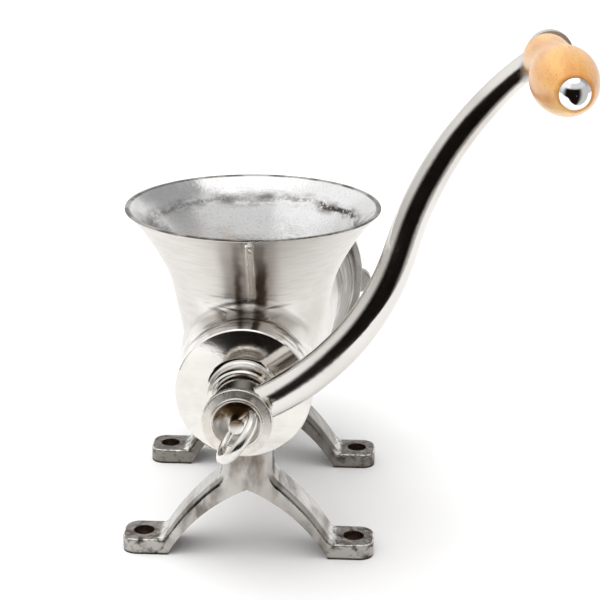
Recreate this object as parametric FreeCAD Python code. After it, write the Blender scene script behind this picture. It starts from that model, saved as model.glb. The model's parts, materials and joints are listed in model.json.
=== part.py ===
"""Hand poppy seed mill: hopper, worm and burr plates on four bolt-down feet.

Millimetres. +Z is up, -Y is the crank side and +Y the burr side. The origin is the
centre of the four foot bolts, on the plane that the feet stand on.
"""
import FreeCAD, Part
import math
import os

from FreeCAD import Vector

# Feet and leg frames
bolt_spacing_x = 88.0
bolt_spacing_y = 94.0
bolt_hole_radius = 4.25
leg_depth = 18.8
pad_inner_reach = 9.4
pad_outer_reach = 8.4
pad_thickness = 6.7
pad_corner_radius = 6.0
arch_height = 30.5
arch_half_width = 33.5
pillar_half_width = 10.2
leg_rounding = 3.0

# Shaft line: runs along Y above the origin
shaft_height = 80.0
shaft_radius = 6.0
running_clearance = 0.05
seat_clearance = 0.02
thrust_clearance = 0.05

# Barrel, its slightly crowned front face and the bearing boss
front_rim_y = -75.2
front_crown = 0.6
barrel_front_radius = 26.7
barrel_rear_radius = 33.8
barrel_rear_y = 40.0
barrel_bore_radius = 22.0
barrel_bore_front_y = -67.0
boss_front_y = -85.0
boss_radius = 13.2
boss_foot_rounding = 2.2
bush_radius = 8.5

# Burr housing, its threaded neck, ring nut and rear cover
housing_bore_radius = 36.0
housing_floor_y = 60.0
flange_radius = 41.5
flange_front_y = 74.0
flange_rear_y = 80.0
neck_thread_radius = 38.6
neck_rear_y = 84.0
ring_nut_radius = 44.7
ring_nut_front_y = 80.9
ring_nut_rear_y = 88.6
lobe_radius = 5.4
lobe_centre_radius = 43.6
lobe_count = 3
lobe_start_degrees = -3.5
cover_radius = 38.4
cover_rim_rear_y = 86.4
cover_boss_radius = 12.5
cover_boss_rear_y = 106.0

# Hopper: turned about a vertical axis over the worm
hopper_y = -20.0
rim_height = 141.5
rim_radius = 52.5
neck_radius = 29.5
throat_radius = 17.5

# Burrs
burr_radius = 35.9
rotor_burr_radius = 33.5
burr_eye_radius = 18.0
burr_gap = 0.7
burr_thickness = 6.0
burr_groove_count = 24
burr_groove_depth = 1.3
burr_groove_half_width = 1.5
burr_skew_degrees = 24.0

# Feed worm
worm_radius = 21.4
worm_core_radius = 8.5
worm_pitch = 26.0
worm_front_y = -63.0
worm_rear_y = 56.0
flight_thickness = 3.6

# Crank: S-shaped arm from the hub on the shaft's square to the eye of the grip
crank_y = -93.7
hub_rear_y = -86.8
hub_front_y = -100.8
hub_radius = 11.3
square_side = 9.0
shaft_front_y = -100.2
arm_start_heading = math.radians(21.1)
arm_lower_bend_radius = 98.5
arm_lower_turn = math.radians(54.4)
arm_upper_bend_radius = 135.2
arm_upper_turn = math.radians(38.3)
arm_root_diameter = 13.8
arm_tip_diameter = 8.7
arm_lean = -5.6
arm_sections = 15
eye_radius = 8.1
eye_front_y = -104.2
eye_rear_y = -95.0
eye_shift_x = 0.05
eye_shift_z = -0.97

# Crank screw with its folding ring
screw_shank_radius = 2.95
screw_head_rear_y = -102.0
screw_head_radius = 13.4
washer_radius = 11.6
post_radius = 2.8
post_front_y = -109.9
ring_pivot_y = -107.1
ring_hole_radius = 2.0
ring_radius = 9.8
ring_wire_thin = 1.3
ring_wire_thick = 2.1
ring_hole_angle = math.radians(52.8)
ring_lean = math.radians(6.5)

# Grip: its axis leans outward by a small angle from where it meets the eye's front face
grip_foot_x = 106.54
grip_foot_z = 220.7
grip_skew_degrees = 2.6
grip_bore_radius = 3.66
grip_screw_radius = 3.6
grip_thread_radius = 3.0
ferrule_radius = 6.2
ferrule_thickness = 2.4
grip_rear_y = -2.7
grip_length = 69.3

# Adjusting screw, thrust ball and lock nut
adjuster_radius = 7.0
adjuster_front_y = 99.5
adjuster_collar_y = 118.0
ball_radius = 3.5
shaft_rear_y = 97.0
ball_pocket_depth = 2.6
lock_nut_flats = 24.0
lock_nut_thickness = 6.0


def barrel_radius_at(y):
    """Outer radius of the tapered barrel at y."""
    taper = (barrel_rear_radius - barrel_front_radius) / (barrel_rear_y - front_rim_y)
    return barrel_front_radius + taper * (y - front_rim_y)


def rod(radius, y_from, y_to, x=0.0, z=shaft_height):
    """A round bar along Y."""
    return Part.makeCylinder(radius, y_to - y_from, Vector(x, y_from, z), Vector(0, 1, 0))


def outline(place, start, steps):
    """Closed face from a start point and line, arc (middle, end) or curve (points) steps."""
    edges = []
    here = start
    for kind, *points in steps:
        if kind == "line":
            edges.append(Part.makeLine(place(*here), place(*points[0])))
        elif kind == "arc":
            edges.append(Part.Arc(place(*here), place(*points[0]), place(*points[1])).toShape())
        else:
            curve = Part.BSplineCurve()
            curve.interpolate([place(*point) for point in [here] + points])
            edges.append(curve.toShape())
        here = points[-1]
    if math.dist(here, start) > 1e-6:
        edges.append(Part.makeLine(place(*here), place(*start)))
    return Part.Face(Part.Wire(edges))


def dome(radius, edge_y, pole_y):
    """Arc step of a round cap from its edge to its pole on the axis."""
    rise = pole_y - edge_y
    sphere_radius = (radius * radius + rise * rise) / (2 * rise)
    half_angle = math.asin(radius / abs(sphere_radius)) / 2
    middle = abs(sphere_radius) * math.sin(half_angle)
    return ("arc", (middle, pole_y - sphere_radius * (1 - math.cos(half_angle))), (0.0, pole_y))


def turned(start, steps, x=0.0, z=shaft_height, angle=360.0):
    """Turn an outline given as (radius, y) about a line along Y through x, z."""
    face = outline(lambda radius, y: Vector(x + radius, y, z), start, steps)
    return face.revolve(Vector(x, 0, z), Vector(0, 1, 0), angle)


def turned_hopper(start, steps, start_angle=0.0, angle=360.0):
    """Turn an outline given as (radius, z) about the hopper's vertical axis."""
    face = outline(lambda radius, z: Vector(radius, hopper_y, z), start, steps)
    face.rotate(Vector(0, hopper_y, 0), Vector(0, 0, 1), start_angle)
    return face.revolve(Vector(0, hopper_y, 0), Vector(0, 0, 1), angle)


def mirrored_x(shape):
    """The same shape on the other side of the X = 0 plane."""
    return shape.mirror(Vector(0, 0, 0), Vector(1, 0, 0))


def hopper_skin(swell):
    """Outer outline of the hopper, swollen by a small amount, from the shaft height up."""
    points = [(29.6, 90.0), (31.6, 100.0), (33.2, 108.0), (35.3, 115.0), (38.2, 121.0),
              (41.6, 127.0), (44.9, 132.0), (48.4, 136.6), (51.9, 140.4)]
    return [("line", (neck_radius + swell, shaft_height)),
            ("curve", *[(radius + swell, z) for radius, z in points])]


def hopper_outside():
    """Solid bell form of the hopper with its rolled lip."""
    steps = hopper_skin(0.0)
    steps += [("arc", (rim_radius, 141.0), (52.0, rim_height)), ("line", (0.0, rim_height))]
    return turned_hopper((0.0, shaft_height), steps)


def parting_rib(facing):
    """Thin ridge that the mould's parting line leaves on the hopper."""
    rib_angle = 3.4
    steps = hopper_skin(0.35)
    steps += [("line", (45.0, 139.0)), ("line", (20.0, 100.0))]
    return turned_hopper((20.0, shaft_height), steps, facing - rib_angle / 2, rib_angle)


def hopper_inside():
    """Space inside the hopper: flared bowl, funnel floor and throat down to the worm."""
    return turned_hopper((0.0, shaft_height), [
        ("line", (throat_radius, shaft_height)),
        ("line", (throat_radius, 95.5)),
        ("line", (28.8, 104.5)),
        ("curve", (31.0, 112.0), (34.4, 120.0), (38.0, 126.5), (42.4, 133.0), (46.9, 138.2),
         (51.1, rim_height)),
        ("line", (51.1, rim_height + 5.0)),
        ("line", (0.0, rim_height + 5.0))])


def barrel_outside():
    """Tapered barrel with its crowned front face, the bearing boss and the flared burr housing."""
    foot_y = front_rim_y - front_crown
    rounding = boss_foot_rounding
    return turned((0.0, boss_front_y), [
        ("line", (boss_radius - 0.7, boss_front_y)),
        ("line", (boss_radius, boss_front_y + 0.7)),
        ("line", (boss_radius, foot_y - rounding)),
        ("arc", (boss_radius + 0.29 * rounding, foot_y - 0.29 * rounding), (boss_radius + rounding, foot_y)),
        ("line", (barrel_front_radius - 0.5, front_rim_y)),
        ("line", (barrel_front_radius, front_rim_y + 0.5)),
        ("line", (barrel_rear_radius, barrel_rear_y)),
        ("line", (barrel_rear_radius - 0.9, barrel_rear_y + 0.8)),
        ("curve", (34.3, 52.0), (37.4, 64.0), (flange_radius, flange_front_y)),
        ("line", (flange_radius, flange_rear_y - 0.5)),
        ("line", (flange_radius - 0.5, flange_rear_y)),
        ("line", (neck_thread_radius, flange_rear_y)),
        ("line", (neck_thread_radius, neck_rear_y)),
        ("line", (0.0, neck_rear_y))])


def body_hollows():
    """Bush seat, worm bore and burr chamber, one turned space along the shaft."""
    return turned((0.0, boss_front_y - 1.0), [
        ("line", (bush_radius, boss_front_y - 1.0)),
        ("line", (bush_radius, barrel_bore_front_y)),
        ("line", (barrel_bore_radius, barrel_bore_front_y)),
        ("line", (barrel_bore_radius, housing_floor_y)),
        ("line", (housing_bore_radius, housing_floor_y)),
        ("line", (housing_bore_radius, neck_rear_y + 1.0)),
        ("line", (0.0, neck_rear_y + 1.0))])


def seed_outlet():
    """Rounded window in the bottom of the burr housing where the ground seed falls out."""
    half_width = 14.0
    half_depth = 4.6
    middle_y = 72.8
    drop = 24.0
    window = Part.makeBox(2 * (half_width - half_depth), 2 * half_depth, drop,
                          Vector(half_depth - half_width, middle_y - half_depth, 26.0))
    for side in (-1, 1):
        end = Vector(side * (half_width - half_depth), middle_y, 26.0)
        window = window.fuse(Part.makeCylinder(half_depth, drop, end))
    return window.removeSplitter()


def neck_edges(shape):
    """Edges where the hopper's neck runs into the barrel."""
    found = []
    for edge in shape.Edges:
        box = edge.BoundBox
        reach = max(abs(box.YMin - hopper_y), abs(box.YMax - hopper_y))
        on_neck = neck_radius - 2.0 < reach < neck_radius + 5.0
        if on_neck and box.ZMax > shaft_height + 15.0 and box.ZMax < 115.0 and box.ZLength > 5.0:
            found.append(edge)
    return found


def mill_body():
    """The main casting."""
    outside = barrel_outside().fuse(hopper_outside()).removeSplitter()
    outside = outside.makeFillet(4.0, neck_edges(outside))
    for facing in (-90.0, 90.0):
        outside = outside.fuse(parting_rib(facing))
    body = outside.cut(body_hollows()).cut(hopper_inside()).cut(seed_outlet())
    for x, z in burr_screw_places():
        body = body.cut(rod(2.0 + seat_clearance, 49.8, housing_floor_y + 1.0, x, z))
    return body


def edges_through(shape, points):
    """Edges of a shape that pass through any of the points."""
    return [edge for edge in shape.Edges
            if any(edge.distToShape(Part.Vertex(point))[0] < 0.01 for point in points)]


def drilled_pad(middle_y):
    """Right-hand pad, before it is drilled: outer corners and upper edge rounded."""
    foot_x = bolt_spacing_x / 2
    length = pad_inner_reach + pad_outer_reach
    pad = Part.makeBox(length, leg_depth, pad_thickness,
                       Vector(foot_x - pad_inner_reach, middle_y - leg_depth / 2, 0))
    outer_x = foot_x + pad_outer_reach
    corners = [Vector(outer_x, middle_y + side * leg_depth / 2, pad_thickness / 2)
               for side in (-1, 1)]
    pad = pad.makeFillet(pad_corner_radius, edges_through(pad, corners))
    top = [edge for edge in pad.Edges if edge.BoundBox.ZMin > pad_thickness - 0.01
           and edge.BoundBox.XMax > foot_x - pad_inner_reach + 1.0]
    return pad.makeFillet(0.9, top)


def leg_frame(middle_y):
    """Inverted-Y leg frame: a pillar under the barrel, two curved legs and two drilled pads."""
    front_y = middle_y - leg_depth / 2
    foot_x = bolt_spacing_x / 2
    pad_overlap_x = foot_x - pad_inner_reach + 4.0
    top_z = shaft_height - barrel_radius_at(middle_y) + 12.0
    ankle = (35.6, 7.7)
    leg_top = (23.2, 23.4)
    shoulder = (10.9, 36.6)
    shoulder_end = (pillar_half_width, 41.5)

    def place(x, z):
        return Vector(x, front_y, z)

    half = outline(place, (0.0, arch_height), [
        ("arc", (18.4, 18.8), (arch_half_width, 0.0)),
        ("line", (pad_overlap_x, 0.0)),
        ("line", (pad_overlap_x, pad_thickness)),
        ("arc", ankle, (33.6, 9.8)),
        ("arc", leg_top, (12.6, 33.6)),
        ("arc", shoulder, shoulder_end),
        ("line", (pillar_half_width + 0.8, top_z)),
        ("line", (0.0, top_z))])
    legs = half.extrude(Vector(0, leg_depth, 0))
    legs = legs.fuse(mirrored_x(legs)).removeSplitter()
    pillar_side = (pillar_half_width + 0.4, (shoulder_end[1] + top_z) / 2)
    ridges = [Vector(side * x, y, z) for x, z in (ankle, leg_top, shoulder, pillar_side)
              for side in (-1, 1) for y in (front_y, front_y + leg_depth)]
    legs = legs.makeFillet(leg_rounding, edges_through(legs, ridges))
    pad = drilled_pad(middle_y)
    frame = legs.fuse([pad, mirrored_x(pad)]).removeSplitter()
    for side in (-1, 1):
        frame = frame.cut(Part.makeCylinder(bolt_hole_radius, pad_thickness + 2.0,
                                            Vector(side * foot_x, middle_y, -1.0)))
    return frame.cut(barrel_outside())


def front_leg_frame():
    """Leg frame under the crank side."""
    return leg_frame(-bolt_spacing_y / 2)


def rear_leg_frame():
    """Leg frame under the burr side."""
    return leg_frame(bolt_spacing_y / 2)


def front_bush():
    """Plain bush in the bearing boss."""
    return turned((shaft_radius + running_clearance, boss_front_y), [
        ("line", (bush_radius - seat_clearance - 0.4, boss_front_y)),
        ("line", (bush_radius - seat_clearance, boss_front_y + 0.4)),
        ("line", (bush_radius - seat_clearance, barrel_bore_front_y)),
        ("line", (shaft_radius + running_clearance, barrel_bore_front_y))])


def burr_screw_places():
    """Centres (x, z) of the screws that hold the fixed burr."""
    circle_radius = 29.0
    angles = [math.radians(90.0 + 120.0 * number) for number in range(3)]
    return [(circle_radius * math.cos(angle), shaft_height + circle_radius * math.sin(angle))
            for angle in angles]


def burr_grooves(face_y, inward):
    """Skewed V grooves that leave the grinding teeth; inward is the groove's direction along Y."""
    length = burr_radius * 1.3
    grooves = []
    for number in range(burr_groove_count):
        rim = Vector(0, face_y - inward * 0.2, 0)
        half_width = burr_groove_half_width + 0.2
        section = Part.makePolygon([
            rim + Vector(0, 0, -half_width),
            rim + Vector(0, 0, half_width),
            Vector(0, face_y + inward * burr_groove_depth, 0),
            rim + Vector(0, 0, -half_width)])
        groove = Part.Face(section).extrude(Vector(length, 0, 0))
        groove.rotate(Vector(0, 0, 0), Vector(0, 1, 0), inward * burr_skew_degrees)
        groove.translate(Vector(burr_eye_radius - 1.0, 0, 0))
        groove.rotate(Vector(0, 0, 0), Vector(0, 1, 0), number * 360.0 / burr_groove_count)
        groove.translate(Vector(0, 0, shaft_height))
        grooves.append(groove)
    return grooves


def fixed_burr():
    """Toothed ring that stands still in the housing."""
    front_y = housing_floor_y + seat_clearance
    rear_y = housing_floor_y + burr_thickness
    ring = rod(burr_radius, front_y, rear_y).cut(rod(burr_eye_radius, front_y - 1.0, rear_y + 1.0))
    ring = ring.cut(burr_grooves(rear_y, -1))
    for x, z in burr_screw_places():
        countersink = Part.makeCone(2.1, 4.3, 2.2, Vector(x, rear_y - 3.8, z), Vector(0, 1, 0))
        ring = ring.cut([rod(2.1, front_y - 1.0, rear_y, x, z), countersink,
                         rod(4.3, rear_y - 1.6, rear_y + 1.0, x, z)])
    return ring


def fixed_burr_screws():
    """Countersunk screws of the fixed burr, as one group."""
    rear_y = housing_floor_y + burr_thickness
    screws = []
    for x, z in burr_screw_places():
        head = Part.makeCone(2.0, 4.1, 2.1, Vector(x, rear_y - 3.75, z), Vector(0, 1, 0))
        slot = Part.makeBox(9.0, 0.7, 0.9, Vector(x - 4.5, rear_y - 2.3, z - 0.45))
        screws.append(rod(2.0, 50.0, rear_y - 3.75, x, z).fuse(head).removeSplitter().cut(slot))
    return Part.makeCompound(screws)


def rotating_burr():
    """Toothed disc on the shaft, with a hollow middle that takes the seed in, and a hub."""
    front_y = housing_floor_y + burr_thickness + burr_gap
    disc_rear_y = front_y + 6.8
    hub_end_y = 83.5
    bore = shaft_radius + seat_clearance
    disc = turned((bore, front_y + 3.4), [
        ("line", (10.0, front_y + 3.4)),
        ("line", (burr_eye_radius - 1.0, front_y)),
        ("line", (rotor_burr_radius, front_y)),
        ("line", (rotor_burr_radius, disc_rear_y - 2.0)),
        ("line", (rotor_burr_radius - 2.0, disc_rear_y)),
        ("line", (13.0, disc_rear_y)),
        ("arc", (11.6, disc_rear_y + 0.6), (11.0, disc_rear_y + 2.0)),
        ("line", (11.0, hub_end_y)),
        ("line", (bore, hub_end_y))])
    return disc.cut(burr_grooves(front_y, 1)).cut(burr_pin_hole())


def cross_pin(radius, half_length, y):
    """Round pin that crosses the shaft in the vertical direction."""
    return Part.makeCylinder(radius, 2 * half_length, Vector(0, y, shaft_height - half_length))


def burr_pin_hole():
    """Space for the pin that drives the rotating burr."""
    return cross_pin(1.6 + seat_clearance, 12.0, 79.0)


def worm_pin_hole():
    """Space for the pin that holds the worm."""
    return cross_pin(1.5 + seat_clearance, 9.5, -50.0)


def burr_pin():
    """Drive pin of the rotating burr."""
    return cross_pin(1.6, 10.6, 79.0)


def worm_pin():
    """Pin of the feed worm."""
    return cross_pin(1.5, 8.1, -50.0)


def feed_worm():
    """Core with a right-hand helical flight."""
    flight_length = worm_rear_y - worm_front_y - flight_thickness
    core = rod(worm_core_radius, worm_front_y, worm_rear_y)
    path = Part.makeLongHelix(worm_pitch, flight_length, worm_radius - 4.0)
    start_x = worm_core_radius - 1.0
    section = Part.makePolygon([
        Vector(start_x, 0, 0), Vector(worm_radius, 0, 0.7),
        Vector(worm_radius, 0, flight_thickness - 0.7), Vector(start_x, 0, flight_thickness),
        Vector(start_x, 0, 0)])
    flight = Part.Wire(path.Edges).makePipeShell([section], True, True)
    flight.rotate(Vector(0, 0, 0), Vector(1, 0, 0), -90.0)
    flight.translate(Vector(0, worm_front_y, shaft_height))
    worm = core.fuse(flight)
    worm = worm.cut(rod(shaft_radius + seat_clearance, worm_front_y - 1.0, worm_rear_y + 1.0))
    return worm.cut(worm_pin_hole())


def drive_shaft():
    """Shaft with a square front end, a tapped hole for the crank screw and a ball pocket."""
    tap_depth = 16.0
    side = square_side - 0.1
    shaft = rod(shaft_radius, shaft_front_y, shaft_rear_y)
    square_length = hub_rear_y - shaft_front_y
    around = Part.makeBox(40.0, square_length, 40.0,
                          Vector(-20.0, shaft_front_y, shaft_height - 20.0))
    square = Part.makeBox(side, square_length, side,
                          Vector(-side / 2, shaft_front_y, shaft_height - side / 2))
    turn = math.degrees(arm_start_heading)
    square.rotate(Vector(0, 0, shaft_height), Vector(0, 1, 0), -turn)
    shaft = shaft.cut(around.cut(square))
    tap_radius = screw_shank_radius + running_clearance
    shaft = shaft.cut(rod(tap_radius, shaft_front_y - 1.0, shaft_front_y + tap_depth))
    pocket_y = shaft_rear_y - ball_pocket_depth
    shaft = shaft.cut(rod(ball_radius + 0.1, pocket_y, shaft_rear_y + 1.0))
    return shaft.cut(worm_pin_hole()).cut(burr_pin_hole())


def rear_cover():
    """Domed end plate with a spigot, and a boss for the bush and the adjusting screw."""
    thread_radius = adjuster_radius + running_clearance
    spigot_front_y = neck_rear_y - 2.0
    seat_y = neck_rear_y + seat_clearance
    return turned((33.0, spigot_front_y), [
        ("line", (housing_bore_radius - running_clearance, spigot_front_y)),
        ("line", (housing_bore_radius - running_clearance, seat_y)),
        ("line", (cover_radius, seat_y)),
        ("line", (cover_radius, cover_rim_rear_y)),
        ("line", (33.4, cover_rim_rear_y)),
        ("arc", (24.5, 88.9), (15.5, 93.2)),
        ("arc", (13.4, 94.7), (cover_boss_radius, 97.0)),
        ("line", (cover_boss_radius, cover_boss_rear_y - 0.8)),
        ("line", (cover_boss_radius - 0.8, cover_boss_rear_y)),
        ("line", (thread_radius, cover_boss_rear_y)),
        ("line", (thread_radius, 97.6)),
        ("line", (9.0, 97.6)),
        ("line", (9.0, 88.4)),
        ("line", (14.0, 88.4))])


def ring_nut():
    """Threaded ring with finger lobes that holds the cover on the housing's neck."""
    bore = neck_thread_radius + running_clearance
    lip_y = cover_rim_rear_y + running_clearance
    front_y, rear_y = ring_nut_front_y, ring_nut_rear_y
    blank = turned((0.0, front_y), [
        ("line", (ring_nut_radius - 0.5, front_y)),
        ("line", (ring_nut_radius, front_y + 0.5)),
        ("line", (ring_nut_radius, rear_y - 1.0)),
        ("line", (ring_nut_radius - 1.0, rear_y)),
        ("line", (0.0, rear_y))])
    for number in range(lobe_count):
        angle = math.radians(lobe_start_degrees + number * 360.0 / lobe_count)
        x = lobe_centre_radius * math.cos(angle)
        z = shaft_height + lobe_centre_radius * math.sin(angle)
        blank = blank.fuse(turned((0.0, front_y + 1.0), [
            ("line", (lobe_radius - 0.8, front_y + 1.0)),
            ("line", (lobe_radius, front_y + 1.8)),
            ("line", (lobe_radius, rear_y - 1.8)),
            ("line", (lobe_radius - 0.8, rear_y - 1.0)),
            ("line", (0.0, rear_y - 1.0))], x, z))
    hollow = turned((0.0, front_y - 1.0), [
        ("line", (bore, front_y - 1.0)),
        ("line", (bore, lip_y)),
        ("line", (34.2, lip_y)),
        ("line", (34.2, rear_y + 1.0)),
        ("line", (0.0, rear_y + 1.0))])
    return blank.cut(hollow)


def rear_bush():
    """Plain bush in the cover's boss."""
    inner = shaft_radius + running_clearance
    return rod(9.0 - seat_clearance, 88.5, 97.5).cut(rod(inner, 88.0, 98.0))


def thrust_ball():
    """Hardened ball between the shaft's end and the adjusting screw."""
    middle_y = shaft_rear_y - ball_pocket_depth + thrust_clearance + ball_radius
    return Part.makeSphere(ball_radius, Vector(0, middle_y, shaft_height))


def wing_pair(reach, root_y, tip_y, thickness):
    """Two rounded finger wings on a screw head, standing up and down."""
    tip_radius = (tip_y - root_y) * 0.42
    tip_z = reach - tip_radius
    tip_centre_y = tip_y - tip_radius

    def place(z, y):
        return Vector(-thickness / 2, y, shaft_height + z)

    wing = outline(place, (0.0, root_y), [
        ("line", (tip_radius * 0.8, root_y)),
        ("arc", (tip_z * 0.72, root_y + (tip_centre_y - root_y) * 0.22),
         (tip_z + tip_radius * 0.75, tip_centre_y - tip_radius * 0.66)),
        ("arc", (reach, tip_centre_y), (tip_z + tip_radius * 0.3, tip_y - tip_radius * 0.05)),
        ("arc", (tip_z * 0.55, tip_centre_y - tip_radius * 0.1), (tip_radius * 0.6, root_y + 3.0)),
        ("line", (0.0, root_y + 3.0))])
    upper = wing.extrude(Vector(thickness, 0, 0))
    lower = upper.copy()
    lower.rotate(Vector(0, 0, shaft_height), Vector(0, 1, 0), 180.0)
    return upper.fuse(lower)


def adjusting_screw():
    """Winged screw that pushes the shaft forward and so sets the gap between the burrs."""
    screw = turned((0.0, adjuster_front_y), [
        ("line", (adjuster_radius - 0.8, adjuster_front_y)),
        ("line", (adjuster_radius, adjuster_front_y + 0.8)),
        ("line", (adjuster_radius, adjuster_collar_y)),
        ("line", (9.4, adjuster_collar_y)),
        ("arc", (10.2, 119.4), (9.6, 121.6)),
        dome(9.6, 121.6, 126.0)])
    screw = screw.fuse(wing_pair(21.0, 119.2, 133.0, 4.6)).removeSplitter()
    ball_rear_y = shaft_rear_y - ball_pocket_depth + thrust_clearance + 2 * ball_radius
    return screw.cut(rod(ball_radius + 0.1, adjuster_front_y - 1.0,
                         ball_rear_y + thrust_clearance))


def lock_nut():
    """Hexagon nut that locks the adjusting screw against the boss."""
    front_y = cover_boss_rear_y + 0.1
    across_corners = lock_nut_flats / math.sqrt(3.0)
    corners = [Vector(across_corners * math.cos(math.radians(60.0 * number)), front_y,
                      shaft_height + across_corners * math.sin(math.radians(60.0 * number)))
               for number in range(7)]
    blank = Part.Face(Part.makePolygon(corners)).extrude(Vector(0, lock_nut_thickness, 0))
    rear_y = front_y + lock_nut_thickness
    chamfer = turned((0.0, front_y), [
        ("line", (across_corners - 1.0, front_y)), ("line", (across_corners + 0.6, front_y + 0.9)),
        ("line", (across_corners + 0.6, rear_y - 0.9)), ("line", (across_corners - 1.0, rear_y)),
        ("line", (0.0, rear_y))])
    hole = rod(adjuster_radius + running_clearance, front_y - 1.0, rear_y + 1.0)
    return blank.common(chamfer).cut(hole)


def arm_centre(share):
    """Centre of the crank arm and its heading, at a share of its length from the shaft line."""
    lower_length = arm_lower_bend_radius * arm_lower_turn
    upper_length = arm_upper_bend_radius * arm_upper_turn
    along = share * (lower_length + upper_length)
    start, end = arm_start_heading, arm_start_heading + arm_lower_turn
    turn = min(along, lower_length) / arm_lower_bend_radius
    x = arm_lower_bend_radius * (math.sin(start + turn) - math.sin(start))
    z = arm_lower_bend_radius * (math.cos(start) - math.cos(start + turn))
    heading = start + turn
    if along > lower_length:
        turn = (along - lower_length) / arm_upper_bend_radius
        x += arm_upper_bend_radius * (math.sin(end) - math.sin(end - turn))
        z += arm_upper_bend_radius * (math.cos(end - turn) - math.cos(end))
        heading = end - turn
    lean = arm_lean * share * share * (3.0 - 2.0 * share)
    return Vector(x, crank_y + lean, shaft_height + z), heading


def on_grip_axis(shape):
    """Lay a shape that was made along Y from the origin on to the grip's axis."""
    shape.rotate(Vector(0, 0, 0), Vector(0, 0, 1), grip_skew_degrees)
    shape.translate(Vector(grip_foot_x, eye_front_y, grip_foot_z))
    return shape


def crank_eye():
    """Eye at the end of the crank arm, faced square to the grip's axis and drilled along it."""
    arm_end = arm_centre(1.0)[0]
    eye = turned((0.0, eye_rear_y), [
        ("line", (4.6, eye_rear_y)),
        ("arc", (6.9, eye_rear_y - 1.8), (eye_radius, eye_rear_y - 5.6)),
        ("line", (eye_radius, eye_front_y - 1.0)),
        ("line", (0.0, eye_front_y - 1.0))], arm_end.x + eye_shift_x, arm_end.z + eye_shift_z)
    return eye.cut(on_grip_axis(rod(3 * eye_radius, -5.0, 0.0, 0.0, 0.0)))


def crank_arm():
    """Forged crank: square-holed hub, tapering S-shaped arm and eye."""
    sections = []
    for number in range(arm_sections):
        share = 0.02 + 0.965 * number / (arm_sections - 1)
        centre, heading = arm_centre(share)
        narrowing = (arm_root_diameter - arm_tip_diameter) * share ** 2.2
        along = Vector(math.cos(heading), 0, math.sin(heading))
        circle = Part.Circle(centre, along, (arm_root_diameter - narrowing) / 2)
        sections.append(Part.Wire(circle.toShape()))
    arm = Part.makeLoft(sections, True, False)
    hub = turned((0.0, hub_rear_y), [
        ("line", (hub_radius - 0.6, hub_rear_y)),
        ("line", (hub_radius, hub_rear_y - 0.6)),
        ("line", (hub_radius, hub_front_y + 0.6)),
        ("line", (hub_radius - 0.6, hub_front_y)),
        ("line", (0.0, hub_front_y))])
    square = Part.makeBox(square_side, 30.0, square_side,
                          Vector(-square_side / 2, hub_front_y - 5.0, shaft_height - square_side / 2))
    square.rotate(Vector(0, 0, shaft_height), Vector(0, 1, 0), -math.degrees(arm_start_heading))
    eye_depth = eye_rear_y - eye_front_y
    tapping = rod(grip_thread_radius + seat_clearance, -1.0, eye_depth + 4.0, 0.0, 0.0)
    return hub.fuse([arm, crank_eye()]).cut([square, on_grip_axis(tapping)])


def crank_washer():
    """Washer between the crank's hub and the crank screw."""
    rear_y = hub_front_y - seat_clearance
    return rod(washer_radius, rear_y - 1.1, rear_y).cut(
        rod(screw_shank_radius + 0.25, rear_y - 2.0, rear_y + 1.0))


def ring_frame():
    """Pivot point, hole direction and outward direction of the folding ring."""
    pivot = Vector(0, ring_pivot_y, shaft_height)
    along_hole = Vector(math.cos(ring_hole_angle), 0, math.sin(ring_hole_angle))
    across = Vector(math.sin(ring_hole_angle), 0, -math.cos(ring_hole_angle))
    outward = Vector(0, -math.cos(ring_lean), 0) + across * math.sin(ring_lean)
    return pivot, along_hole, outward


def crank_screw():
    """Screw with a large dished head and a drilled post for the ring."""
    y = screw_head_rear_y
    screw = turned((0.0, -86.2), [
        ("line", (screw_shank_radius - 0.5, -86.2)),
        ("line", (screw_shank_radius, -86.7)),
        ("line", (screw_shank_radius, y)),
        ("line", (screw_head_radius - 0.9, y)),
        ("line", (screw_head_radius, y - 0.9)),
        ("line", (screw_head_radius, y - 2.9)),
        ("arc", (screw_head_radius - 0.2, y - 3.3), (screw_head_radius - 0.7, y - 3.5)),
        ("line", (10.3, y - 3.75)),
        ("arc", (9.4, y - 4.5), (8.5, y - 3.8)),
        ("arc", (6.7, y - 1.9), (post_radius, y - 1.0)),
        ("line", (post_radius, post_front_y + 0.5)),
        ("line", (post_radius - 0.5, post_front_y)),
        ("line", (0.0, post_front_y))])
    pivot, along_hole, _ = ring_frame()
    hole = Part.makeCylinder(ring_hole_radius, 12.0, pivot - along_hole * 6.0, along_hole)
    return screw.cut(hole)


def pull_ring():
    """Ring through the post, thin where it passes the hole and thick where it is pulled."""
    pivot, along_hole, outward = ring_frame()
    centre = pivot + outward * ring_radius
    count = 16
    sections = []
    for number in range(count + 1):
        angle = 2.0 * math.pi * number / count
        spoke = along_hole * math.sin(angle) - outward * math.cos(angle)
        along = along_hole * math.cos(angle) + outward * math.sin(angle)
        thickness = ring_wire_thin + (ring_wire_thick - ring_wire_thin) * (1 - math.cos(angle)) / 2
        circle = Part.Circle(centre + spoke * ring_radius, along, thickness)
        sections.append(Part.Wire(circle.toShape()))
    halves = [Part.makeLoft(sections[:count // 2 + 1], True, False),
              Part.makeLoft(sections[count // 2:], True, False)]
    return halves[0].fuse(halves[1])


def grip_ferrule():
    """Bright disc between the eye and the wooden grip."""
    rear_y = -seat_clearance
    front_y = rear_y - ferrule_thickness
    hole = grip_screw_radius + seat_clearance
    return on_grip_axis(turned((hole, rear_y), [
        ("line", (ferrule_radius - 0.5, rear_y)),
        ("line", (ferrule_radius, rear_y - 0.5)),
        ("line", (ferrule_radius, front_y + 0.8)),
        ("arc", (ferrule_radius - 0.3, front_y + 0.2), (ferrule_radius - 1.0, front_y)),
        ("line", (hole, front_y))], 0.0, 0.0))


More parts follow.
